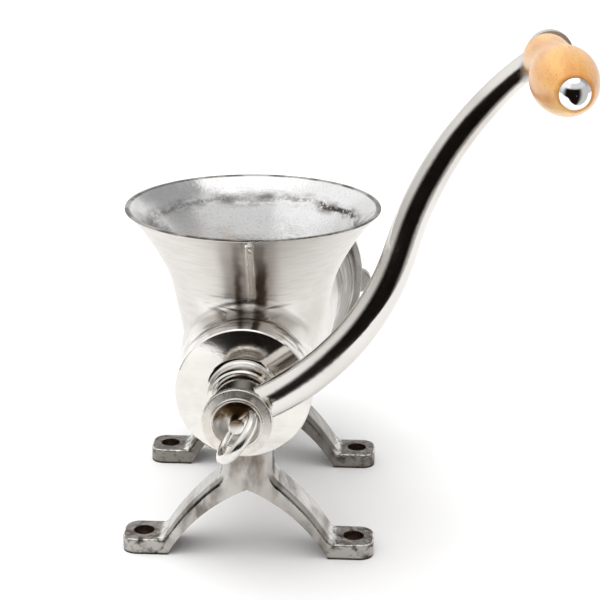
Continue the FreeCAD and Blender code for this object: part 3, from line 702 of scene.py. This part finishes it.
@dataclass(frozen=True)
class DishedNickel(MetalFinish):
    """Nickel plate on the crank screw: turned rim, and a dish that is rubbed bright, with a brown painted
    reflection over its upper half.

    The dish is bounded by its radius about the shaft and its place along it.
    """

    dish: tuple[Edge, ...] = (Edge(Along.X, 9.4, 8.6), Edge(Along.Y, -101.5, -102.5))
    rubbed: Stain = Stain("#F6F4F0")
    # Painted reflection: brown over the dish's upper half, which faces down.
    upper_dish_reflection: Stain = Stain("#6E5A3E", Patches(5.0, 0.20, 0.50), (Edge(Along.Z, 79.0, 82.5),))
    dish_roughness: float = 0.28

    def in_dish(self, canvas: Canvas) -> Socket:
        """Mask of the dish in the screw's head."""
        return canvas.turned(Lay.ABOUT_SHAFT).region(*self.dish)

    def tint(self, canvas: Canvas) -> Socket:
        """Colour: the dish is rubbed bright, and its upper half has a brown painted reflection."""
        dish = self.in_dish(canvas)
        return canvas.layered(super().tint(canvas), (self.rubbed, dish), (self.upper_dish_reflection, dish))

    def gloss(self, canvas: Canvas) -> Socket:
        """Roughness: satin rim and dish."""
        return canvas.blended(super().gloss(canvas), self.dish_roughness, self.in_dish(canvas))


@dataclass(frozen=True)
class VarnishedBeech(Finish):
    """Turned beech under clear varnish: pale orange wood, faint rings and short dark rays along the grain."""

    name: str = "varnished_beech"
    colour: str = "#D1924A"
    rings: Stain = Stain("#BF7834", Patches(3.4, 0.45, 0.70, (1.0, 22.0, 2.2), 4.0))
    clouds: Stain = Stain("#E0B062", Patches(11.0, 0.36, 0.74, (1.0, 3.0, 1.0)))
    flushes: Stain = Stain("#C07838", Patches(9.0, 0.50, 0.84, (1.0, 3.0, 1.0)))
    rays: Stain = Stain("#B0733C", Patches(0.30, 0.68, 0.84, (1.0, 2.6 / 0.30, 1.0), 0.0))
    pores: Patches = Patches(0.5, 0.1, 0.9, (1.0, 12.0, 1.0))
    pore_height: float = 0.008
    roughness: float = 0.34
    varnish: float = 0.30
    varnish_roughness: float = 0.16
    ior: float = 1.5

    def settings(self) -> dict[str, float]:
        """Satin wood under a thin coat of varnish."""
        return {"Roughness": self.roughness, "IOR": self.ior, "Coat Weight": self.varnish,
                "Coat Roughness": self.varnish_roughness, "Coat IOR": self.ior}

    def patterns(self, canvas: Canvas) -> dict[str, Socket]:
        """Wood and its fine pores, in coordinates that start on the grip's axis.

        Args:
            canvas: nodes of the material.

        Returns:
            What feeds the colour and the normal.
        """
        on_axis = {"vector_type": "TEXTURE", "Location": (LINES.grip_x, 0.0, LINES.grip_z)}
        wood = Canvas(canvas.tree, canvas.node("Mapping", on_axis, {"Vector": canvas.where}))
        layers = [(stain,) for stain in (self.rings, self.clouds, self.flushes, self.rays)]
        return {"Base Color": wood.layered(wood.plain(self.colour), *layers),
                "Normal": wood.raised(wood.patches(self.pores), self.pore_height)}


@dataclass(frozen=True)
class StudioPaper(Finish):
    """Matt white background paper, with a faint unevenness so that it isn't one flat value."""

    name: str = "background_paper"
    colour: str = "#F4F4F4"
    mottling: Stain = Stain("#F0F0F0", Patches(160.0, 0.3, 0.7))
    roughness: float = 0.9
    specular: float = 0.2

    def settings(self) -> dict[str, float]:
        """Matt, with little shine."""
        return {"Roughness": self.roughness, "Specular IOR Level": self.specular}

    def patterns(self, canvas: Canvas) -> dict[str, Socket]:
        """Faintly mottled white."""
        return {"Base Color": canvas.stained(canvas.plain(self.colour), self.mottling)}


# Bright, slightly warm tin over cast iron: mirror-like but wavy and softly blurred.
TINNED_BODY = TinnedBody(
    "tinned_cast_iron", "#D4D1CD", Stain("#B4AFA8", Patches(30.0, 0.50, 0.85)),
    roughness=(0.13, 0.24), rough_size=24.0, wave=(26.0, 0.20), grain=(1.1, 0.006))
# The same tin on small turned and cast pieces at the burr end.
TINNED_TRIM = MetalFinish(
    "tinned_trim", "#A29F9B", Stain("#87827C", Patches(26.0, 0.40, 0.80)),
    roughness=(0.19, 0.32), rough_size=12.0, wave=(14.0, 0.05), grain=(0.9, 0.006),
    lay=Lay.ABOUT_SHAFT, marks=(0.6, 0.006))
# Legs: satin tin worn through to the iron in places.
TINNED_LEGS = TinnedLegs(
    "tinned_cast_iron_legs", "#BDBAB6", Stain("#97918A", Patches(22.0, 0.40, 0.85)),
    roughness=(0.15, 0.28), rough_size=10.0, wave=(9.0, 0.20), grain=(1.3, 0.010))
# The rear pair is a darker copy of the same finish, with darker pads too: painted shade for the mill's shadow
# over them.
SHADED_REAR_LEGS = TinnedLegs(
    "tinned_cast_iron_rear_legs_painted_shade", "#837F7A", Stain("#625B54", Patches(18.0, 0.36, 0.80)),
    roughness=(0.18, 0.32), rough_size=10.0, wave=(9.0, 0.20), grain=(1.3, 0.010),
    pad=Stain("#8A857F"), pad_top=Stain("#6F6A65"))
# Polished steel under tin on the crank: long, clean reflections with a slow waver.
POLISHED_CRANK = CrankTin(
    "polished_tinned_steel", "#DAD7D3", Stain("#B5AFA8", Patches(40.0, 0.50, 0.9)),
    roughness=(0.08, 0.16), rough_size=30.0, wave=(34.0, 0.08), grain=(0.8, 0.002))
# Nickel plate: a little warmer and darker than tin, turned on the lathe before plating.
NICKEL = MetalFinish(
    "nickel_plated_steel", "#D2CDC5", Stain("#9D958A", Patches(8.0, 0.50, 0.85)),
    roughness=(0.20, 0.32), rough_size=7.0, wave=(9.0, 0.015), grain=(0.6, 0.0012),
    lay=Lay.ABOUT_SHAFT, marks=(0.45, 0.006))
DISHED_NICKEL = DishedNickel(
    "nickel_plated_dished_screw", "#D6D1CA", Stain("#A69D92", Patches(8.0, 0.50, 0.85)),
    roughness=(0.20, 0.32), rough_size=7.0, wave=(9.0, 0.015), grain=(0.6, 0.0012),
    lay=Lay.ABOUT_SHAFT, marks=(0.45, 0.006))
# The same plate on the drawn wire of the ring, which hands keep bright.
RING_WIRE = MetalFinish(
    "nickel_plated_wire", "#DAD7D2", Stain("#B4ADA3", Patches(6.0, 0.50, 0.85)),
    roughness=(0.13, 0.24), rough_size=5.0, wave=(5.0, 0.03), grain=(0.5, 0.0012))
# Chrome plate: the coldest and most mirror-like of the metals.
CHROME = MetalFinish(
    "chrome_plate", "#E9EAEC", Stain("#C7C9CC", Patches(12.0, 0.6, 0.9)),
    roughness=(0.03, 0.05), rough_size=9.0, wave=(16.0, 0.01), grain=(0.7, 0.0006),
    lay=Lay.ABOUT_GRIP, marks=(0.5, 0.0006))
# The same plate over a pressed washer that was not buffed.
SATIN_CHROME = MetalFinish(
    "satin_chrome_plate", "#E4E6E9", Stain("#C9CCD0", Patches(9.0, 0.5, 0.9)),
    roughness=(0.26, 0.36), rough_size=7.0, wave=(9.0, 0.01), grain=(0.6, 0.002),
    lay=Lay.ABOUT_GRIP, marks=(0.4, 0.003))
# Zinc-plated screws and pins.
ZINC = MetalFinish(
    "zinc_plated_steel", "#C9CBCD", Stain("#8F9193", Patches(5.0, 0.5, 0.8)),
    roughness=(0.22, 0.34), rough_size=4.0, wave=(6.0, 0.01), grain=(0.4, 0.003),
    lay=Lay.ABOUT_SHAFT, marks=(0.35, 0.004))
# Ground and hardened iron of the burrs: dark, with bright scuffs and seed oil.
HARDENED_IRON = MetalFinish(
    "hardened_iron", "#6E6C6B", Stain("#3C3936", Patches(6.0, 0.45, 0.75)),
    roughness=(0.28, 0.45), rough_size=5.0, wave=(8.0, 0.02), grain=(0.8, 0.010),
    lay=Lay.ABOUT_SHAFT, marks=(0.6, 0.006))
# Tinned iron of the worm, satin from use.
WORM_IRON = MetalFinish(
    "tinned_worm_iron", "#C8C4BC", Stain("#857D73", Patches(8.0, 0.48, 0.75)),
    roughness=(0.24, 0.38), rough_size=6.0, wave=(9.0, 0.04), grain=(1.1, 0.012))
# Turned steel shaft.
SHAFT_STEEL = MetalFinish(
    "turned_steel", "#B9B8B6", Stain("#86827D", Patches(7.0, 0.5, 0.8)),
    roughness=(0.18, 0.28), rough_size=6.0, wave=(8.0, 0.01), grain=(0.5, 0.003),
    lay=Lay.ABOUT_SHAFT, marks=(0.3, 0.005))
# Turned bearing bronze.
BRONZE = MetalFinish(
    "bearing_bronze", "#C99A55", Stain("#8A6434", Patches(6.0, 0.5, 0.8)),
    roughness=(0.2, 0.32), rough_size=5.0, wave=(8.0, 0.01), grain=(0.5, 0.004),
    lay=Lay.ABOUT_SHAFT, marks=(0.35, 0.005))
# Ground and polished bearing steel of the ball.
BALL_STEEL = MetalFinish(
    "bearing_steel", "#D5D6D8", Stain("#B4B5B8", Patches(3.0, 0.55, 0.85)),
    roughness=(0.04, 0.08), rough_size=2.0, wave=(3.0, 0.004), grain=(0.4, 0.001))


def in_scene(name: str, data: bpy.types.ID) -> bpy.types.Object:
    """Make an object from its data and put it in the scene."""
    thing = bpy.data.objects.new(name, data)
    bpy.context.scene.collection.objects.link(thing)
    return thing


def new_surface(name: str, points: np.ndarray, material: bpy.types.Material,
                closed_round: bool = False) -> bpy.types.Object:
    """Make a mesh object from a grid of points, with four-sided faces between neighbouring rows and columns.

    Args:
        name: name of the object.
        points: array of rows by columns by three, in metres.
        material: finish of the piece.
        closed_round: whether a row's last point joins its first.

    Returns:
        The object, at the origin, with its place in its mesh.
    """
    rows, columns = points.shape[:2]
    faces_in_row = columns if closed_round else columns - 1
    row, column = np.meshgrid(np.arange(rows - 1), np.arange(faces_in_row), indexing="ij")
    next_column = (column + 1) % columns
    here, after = row * columns, (row + 1) * columns
    corners = [here + column, here + next_column, after + next_column, after + column]
    faces = np.stack(corners, axis=-1).reshape(-1, 4)
    mesh = bpy.data.meshes.new(name)
    mesh.from_pydata(points.reshape(-1, 3).tolist(), [], faces.tolist())
    mesh.shade_smooth()
    mesh.materials.append(material)
    mesh.update()
    return in_scene(name, mesh)


def dress(finish: Finish, *nodes: str) -> bpy.types.Material:
    """Build a finish and give it to CAD nodes.

    Args:
        finish: finish that they share.
        nodes: names of the nodes.

    Returns:
        The material.
    """
    material = finish.build()
    for node in nodes:
        mesh = frame["nodes"][node].data
        mesh.materials.clear()
        mesh.materials.append(material)
    return material


@dataclass(frozen=True)
class Sway:
    """Gentle repeatable unevenness: length of its slowest wave in millimetres, its swing and its phase."""

    length: float
    swing: float
    phase: float

    def at(self, place: np.ndarray) -> np.ndarray:
        """Sum of three sines whose lengths have no common measure, halved so that it stays near the swing."""
        turn = 2.0 * math.pi * place / self.length
        return self.swing / 2.0 * (np.sin(turn + self.phase) + 0.6 * np.sin(2.37 * turn + 2.1 * self.phase)
                                   + 0.4 * np.sin(5.13 * turn + self.phase))


@dataclass(frozen=True)
class Swell:
    """Bell-shaped hump on the seam.

    Height is a share of the seam's height. Rise is its place from the seam's foot (0) to its top (1), and
    length its extent that way. Share is its place across, from -1 to 1, and width its extent that way. Skew
    is how much lower it lies at the seam's right edge than in the middle.
    """

    height: float
    rise: float
    length: float
    share: float = 0.0
    width: float = math.inf
    skew: float = 0.0

    def over(self, rise: np.ndarray, share: np.ndarray) -> np.ndarray:
        """Height of the hump: a normal curve along the seam times a normal curve across it."""
        along = (rise - self.rise + self.skew * share) / self.length
        return self.height * np.exp(-along ** 2) * np.exp(-((share - self.share) / self.width) ** 2)


@dataclass(frozen=True)
class SeamSide:
    """One of the seams: -1 for the crank side or 1 for the burr side, and how its middle and height vary."""

    name: str
    side: float
    middle: Sway
    strength: Sway


@dataclass
class Casting:
    """The main casting with its leg frames, and the mould's parting seams on the hopper in millimetres."""

    sides: tuple[SeamSide, ...] = (
        SeamSide("parting_seam_front", -1.0, Sway(19.0, 0.25, 0.0), Sway(8.0, 0.16, -3.0)),
        SeamSide("parting_seam_rear", 1.0, Sway(19.0, 0.25, 2.0), Sway(8.0, 0.16, 3.0)),
    )
    rows: int = 190
    columns: int = 49
    half_width: float = 2.1
    middle: float = 1.5
    height: float = 0.36
    bottom: float = 98.0
    top: float = 140.2
    fade_at_bottom: float = 0.12
    fade_at_top: float = 0.035
    fall_power: float = 2.4
    crest_height: float = 0.55
    crest_place: float = -0.30
    crest_width: float = 0.15
    crest_sway: Sway = Sway(13.0, 0.10, 2.0)
    crest_strength: float = 0.75
    crest_unevenness: Sway = Sway(6.0, 0.25, 4.0)
    lump: Swell = Swell(0.8, 0.10, 0.05)
    knots: tuple[Swell, ...] = (Swell(1.3, 0.955, 0.020, -0.10, 0.38),
                                Swell(0.9, 0.915, 0.012, 0.12, 0.30, 0.05))
    sunk_edge: float = 0.06
    sunk_end: float = 0.12
    skin_radii: tuple[float, ...] = (29.6, 31.6, 33.2, 35.3, 38.2, 41.6, 44.9, 48.4, 51.9)
    skin_heights: tuple[float, ...] = (90.0, 100.0, 108.0, 115.0, 121.0, 127.0, 132.0, 136.6, 140.4)

    def build(self) -> list[bpy.types.Object]:
        """Dress the castings and add the seams.

        Returns:
            The new pieces.
        """
        tin = dress(TINNED_BODY, "mill_body")
        dress(TINNED_LEGS, "front_leg_frame")
        # The rear legs take the darker copy of the finish, which is painted shade.
        dress(SHADED_REAR_LEGS, "rear_leg_frame")
        seams = [self.parting_seam(side, tin) for side in self.sides]
        for seam in seams:
            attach(seam, "mill")
        return seams

    def skin_radius(self, height: np.ndarray) -> np.ndarray:
        """Outer radius of the hopper at a height: cubic spans through the skin's points, with mean slopes.

        Args:
            height: heights in millimetres.

        Returns:
            Radii in millimetres.
        """
        z = np.array(self.skin_heights)
        r = np.array(self.skin_radii)
        slope = np.gradient(r, z)
        span = np.clip(np.searchsorted(z, height) - 1, 0, len(z) - 2)
        width = z[span + 1] - z[span]
        t = (height - z[span]) / width
        start, end = r[span], r[span + 1]
        return ((1 + 2 * t) * (1 - t) ** 2 * start + t ** 2 * (3 - 2 * t) * end
                + width * (t * (1 - t) ** 2 * slope[span] - t ** 2 * (1 - t) * slope[span + 1]))

    def parting_seam(self, seam: SeamSide, material: bpy.types.Material) -> bpy.types.Object:
        """Dressed ridge left by the mould's parting line, wandering up the hopper under its lip.

        Across, the ridge falls off with a power of the distance from its middle, with a sharper crest left
        of the middle. Along it the height and the middle waver, and it swells into a torn knot at the
        top and into a lump where the hopper meets the barrel. It fades into the skin at both ends, and
        its edges and ends are sunk into the skin.

        Args:
            seam: which side, and how it varies.
            material: finish of the piece.

        Returns:
            The seam.
        """
        height = np.linspace(self.bottom, self.top, self.rows)[:, None]
        share = np.linspace(-1.0, 1.0, self.columns)[None, :]
        rise = (height - self.bottom) / (self.top - self.bottom)
        ends = (np.sin(0.5 * math.pi * np.clip(rise / self.fade_at_bottom, 0.0, 1.0))
                * np.sqrt(np.clip((1.0 - rise) / self.fade_at_top, 0.0, 1.0)))
        crest_at = self.crest_place + self.crest_sway.at(height)
        crest = (self.crest_height * np.exp(-((share - crest_at) / self.crest_width) ** 2)
                 * (self.crest_strength + self.crest_unevenness.at(height)))
        ridge = (1.0 - np.abs(share) ** self.fall_power) * (1.0 + self.lump.over(rise, share)) + crest
        for knot in self.knots:
            ridge = ridge + knot.over(rise, share)
        strength = self.height * (1.0 + seam.strength.at(height))
        proud = strength * ends * ridge - self.sunk_edge * np.abs(share) ** 6 - self.sunk_end * (1.0 - ends)
        radius = self.skin_radius(height) + proud
        angle = (self.middle + seam.middle.at(height) + self.half_width * share) / self.skin_radius(height)
        x = radius * np.sin(angle)
        y = LINES.hopper_y / MM + seam.side * radius * np.cos(angle)
        points = np.stack([x, y, np.broadcast_to(height, x.shape)], axis=-1) * MM
        if seam.side > 0:
            points = points[:, ::-1]
        return new_surface(seam.name, points, material)


@dataclass
class GrindingWorks:
    """What lies inside the barrel and the burr housing."""

    def build(self) -> list[bpy.types.Object]:
        """Dress the shaft, the worm, the burrs, the bushes and their pins.

        Returns:
            An empty list, because nothing is added.
        """
        dress(SHAFT_STEEL, "drive_shaft")
        dress(WORM_IRON, "feed_worm")
        dress(HARDENED_IRON, "fixed_burr", "rotating_burr")
        dress(BRONZE, "front_bush", "rear_bush")
        dress(ZINC, "fixed_burr_screws", "burr_pin", "worm_pin")
        dress(BALL_STEEL, "thrust_ball")
        return []


@dataclass
class RearEnd:
    """Cover, ring nut, adjusting screw and lock nut, and the adjusting screw's thread in millimetres."""

    thread_radius: float = 7.0
    thread_depth: float = 0.55
    thread_pitch: float = 1.5
    thread_front: float = 112.9
    thread_rear: float = 117.9
    run_out: float = 0.3
    crest_power: float = 0.8
    sunk_end: float = 0.05
    root_height: float = 0.06
    rows: int = 60
    columns: int = 96

    def build(self) -> list[bpy.types.Object]:
        """Dress the rear end and add the thread.

        Returns:
            The new piece.
        """
        tin = dress(TINNED_TRIM, "rear_cover", "ring_nut", "adjusting_screw", "lock_nut")
        thread = self.adjuster_thread(tin)
        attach(thread, "adjuster")
        return [thread]

    def adjuster_thread(self, material: bpy.types.Material) -> bpy.types.Object:
        """Thread as a sleeve whose radius is a rounded ridge that winds once round in each pitch.

        Args:
            material: finish of the piece.

        Returns:
            The sleeve, whose open ends are sunk into the screw.
        """
        angle = np.linspace(0.0, 2.0 * math.pi, self.columns, endpoint=False)[None, :]
        along = np.linspace(self.thread_front, self.thread_rear, self.rows)[:, None]
        phase = 2.0 * math.pi * (along / self.thread_pitch) - angle
        to_end = np.minimum(along - self.thread_front, self.thread_rear - along)
        fade = np.clip(to_end / self.run_out, 0.0, 1.0)
        ridge = (0.5 + 0.5 * np.cos(phase)) ** self.crest_power
        radius = self.thread_radius - self.sunk_end + fade * (self.thread_depth * ridge + self.root_height)
        points = np.stack([radius * np.cos(angle), np.broadcast_to(along, radius.shape),
                           LINES.shaft_height / MM + radius * np.sin(angle)], axis=-1) * MM
        return new_surface("adjuster_thread", points, material, closed_round=True)


@dataclass
class CrankAndGrip:
    """Crank arm, its screw and washer, the folding ring and the turned grip."""

    def build(self) -> list[bpy.types.Object]:
        """Dress the crank and the grip.

        Returns:
            An empty list, because nothing is added.
        """
        dress(POLISHED_CRANK, "crank_arm")
        dress(DISHED_NICKEL, "crank_screw")
        dress(NICKEL, "crank_washer")
        dress(RING_WIRE, "pull_ring")
        dress(CHROME, "grip_screw")
        dress(SATIN_CHROME, "grip_ferrule")
        dress(VarnishedBeech(), "wooden_grip")
        return []


@dataclass(frozen=True)
class RoomPatch:
    """Soft-edged patch of the room round the mill, as the metal sees it.

    Headings are degrees round from the camera's side, positive to the right. Heights are degrees above the
    horizon. Brightness is relative to the white paper.
    """

    heading: float
    half_width: float
    side_blur: float
    low: float
    high: float
    height_blur: float
    brightness: float
    colour: str = "#FFFFFF"

    def mask(self, canvas: Canvas, ahead: Socket, height: Socket) -> Socket:
        """Where the patch is.

        Args:
            canvas: nodes of the world.
            ahead: level unit direction.
            height: sine of the height above the horizon.

        Returns:
            Mask from zero to one.
        """
        turn = math.radians(self.heading)
        middle = {"operation": "DOT_PRODUCT", 1: (math.sin(turn), -math.cos(turn), 0.0)}
        facing = canvas.node("VectorMath", middle, {0: ahead}, out="Value")
        outer, inner = (math.cos(math.radians(min(180.0, max(0.0, self.half_width + blur))))
                        for blur in (self.side_blur, -self.side_blur))
        blurs = (-self.height_blur, self.height_blur)
        below, above = (tuple(math.sin(math.radians(min(90.0, max(-90.0, level + blur)))) for blur in blurs)
                        for level in (self.low, self.high))
        masks = []
        if self.half_width < 180.0:
            masks.append(canvas.between(facing, outer, inner))
        if self.low > -90.0:
            masks.append(canvas.between(height, below[0], below[1]))
        if self.high < 90.0:
            masks.append(canvas.between(height, above[1], above[0]))
        return canvas.product(*masks)


# Walls of white cloth on both sides and behind, lit mostly from above, open towards the camera's dark side.
ROOM = (
    RoomPatch(-105.0, 50.0, 14.0, 12.0, 90.0, 14.0, 0.95),
    RoomPatch(180.0, 48.0, 14.0, -90.0, 58.0, 8.0, 0.95),
    RoomPatch(60.0, 110.0, 18.0, 34.0, 90.0, 6.0, 0.80),
    RoomPatch(-95.0, 62.0, 14.0, 26.0, 90.0, 9.0, 1.15),
    RoomPatch(128.0, 34.0, 14.0, 22.0, 86.0, 8.0, 0.42),
    RoomPatch(0.0, 180.0, 0.0, 64.0, 90.0, 6.0, 1.45),
    RoomPatch(-12.0, 52.0, 16.0, -90.0, 28.0, 6.0, 0.012, "#D8C4B0"),
)


@dataclass
class Studio:
    """White paper, overhead and side light, a dark room behind the camera, and the camera.

    Angles are degrees, and the lens and sensor are millimetres. Other places and lengths are metres. The
    paper's near edge goes from the first to the second distance between the third and fourth place along X.
    """

    azimuth: float = 2.498
    elevation: float = 18.203
    roll: float = 0.487
    camera_place: tuple[float, float, float] = (0.048865, -0.692537, 0.322331)
    lens_mm: float = 102.0
    sensor_mm: float = 36.0
    view_reach: float = 20.0
    paper_reach: float = 4.0
    paper_columns: int = 641
    paper_rows: int = 5
    near_edge: tuple[float, float, float, float] = (-0.56, -0.20, -0.30, 0.28)
    wall_colour: str = "#FFFCF8"
    wall_brightness: float = 0.66
    background: str = "#FFFFFF"
    sun_towards: tuple[float, float, float] = (-0.18, -0.40, 1.0)
    sun_strength: float = 1.9
    sun_angle: float = 75.0

    def build(self) -> list[bpy.types.Object]:
        """Set up the floor, the lights and the camera.

        Returns:
            The stage pieces.
        """
        bpy.context.scene.view_settings.view_transform = "Standard"
        paper = StudioPaper().build()
        edge_from, edge_to, bend_from, bend_to = self.near_edge
        x = np.linspace(-self.paper_reach, self.paper_reach, self.paper_columns)
        bend = np.clip((x - bend_from) / (bend_to - bend_from), 0.0, 1.0)
        edge = edge_from + (edge_to - edge_from) * bend * bend * (3.0 - 2.0 * bend)
        far = np.full_like(x, self.paper_reach)
        near = self.sheet("paper_under_mill", x, edge, far, paper)
        front = self.sheet("paper_in_front", x, -far, edge, paper)
        front.visible_glossy = False
        self.room()
        self.sun()
        self.camera()
        return [near, front]

    def sheet(self, name: str, x: np.ndarray, from_y: np.ndarray, to_y: np.ndarray,
              material: bpy.types.Material) -> bpy.types.Object:
        """Level sheet of paper at height zero, between two edges.

        Args:
            name: name of the sheet.
            x: places along the edges.
            from_y: near edge at each place.
            to_y: far edge at each place.
            material: finish of the sheet.

        Returns:
            The sheet.
        """
        share = np.linspace(0.0, 1.0, self.paper_rows)[:, None]
        y = from_y[None, :] * (1.0 - share) + to_y[None, :] * share
        points = np.stack([np.broadcast_to(x, y.shape), y, np.zeros_like(y)], axis=-1)
        return new_surface(name, points, material)

    def room(self) -> None:
        """Light from all round: patches laid over plain walls, and white where the camera looks past."""
        world = bpy.data.worlds.new("studio_room")
        bpy.context.scene.world = world
        world.use_nodes = True
        world.node_tree.nodes.clear()
        canvas = Canvas(world.node_tree)
        facing = canvas.node("TexCoord", out="Generated")
        height = canvas.node("SeparateXYZ", {}, {0: facing}, out="Z")
        flat = canvas.node("VectorMath", {"operation": "MULTIPLY", 1: LEVEL}, {0: facing})
        ahead = canvas.node("VectorMath", {"operation": "NORMALIZE"}, {0: flat})
        light = canvas.plain(self.wall_colour, self.wall_brightness)
        for patch in ROOM:
            glow = {"data_type": "RGBA", 7: linear(patch.colour, patch.brightness)}
            light = canvas.node("Mix", glow, {0: patch.mask(canvas, ahead, height), 6: light}, out=2)
        seen = canvas.node("Background", {}, {"Color": light})
        plain = canvas.node("Background", {"Color": linear(self.background)})
        straight = canvas.node("LightPath", out="Is Camera Ray")
        chosen = canvas.node("MixShader", {}, {0: straight, 1: seen, 2: plain})
        canvas.node("OutputWorld", {}, {"Surface": chosen})

    def sun(self) -> None:
        """Very broad even light from above the camera's side, too soft to be seen in the metal."""
        light = bpy.data.lights.new("overhead_softbox", "SUN")
        light.energy = self.sun_strength
        light.angle = math.radians(self.sun_angle)
        lamp = in_scene(light.name, light)
        lamp.rotation_euler = Vector(self.sun_towards).to_track_quat("Z", "Y").to_euler()
        lamp.visible_glossy = False

    def camera(self) -> None:
        """Camera from its compass direction, its tilt below the horizon and its small roll."""
        angles = (self.azimuth, self.elevation, self.roll)
        azimuth, elevation, roll = (math.radians(angle) for angle in angles)
        ahead = Vector((-math.sin(azimuth) * math.cos(elevation), math.cos(azimuth) * math.cos(elevation),
                        -math.sin(elevation)))
        right = Vector((math.cos(azimuth), math.sin(azimuth), 0.0))
        up = right.cross(ahead)
        tilted_right = math.cos(roll) * right + math.sin(roll) * up
        tilted_up = math.cos(roll) * up - math.sin(roll) * right
        lens = bpy.data.cameras.new("studio_camera")
        lens.lens = self.lens_mm
        lens.sensor_width = self.sensor_mm
        lens.clip_end = self.view_reach
        camera = in_scene(lens.name, lens)
        turn = Matrix((tilted_right, tilted_up, -ahead)).transposed().to_4x4()
        camera.matrix_world = Matrix.Translation(Vector(self.camera_place)) @ turn
        bpy.context.scene.camera = camera


def main() -> None:
    """Build the mill's sub-assemblies and the studio in order."""
    logging.basicConfig(level=logging.INFO, format="%(message)s")
    for group in (Casting(), GrindingWorks(), RearEnd(), CrankAndGrip(), Studio()):
        pieces = group.build()
        LOG.info("%s: %s", type(group).__name__, ", ".join(piece.name for piece in pieces) or "nodes dressed")


if __name__ == "__main__":
    main()
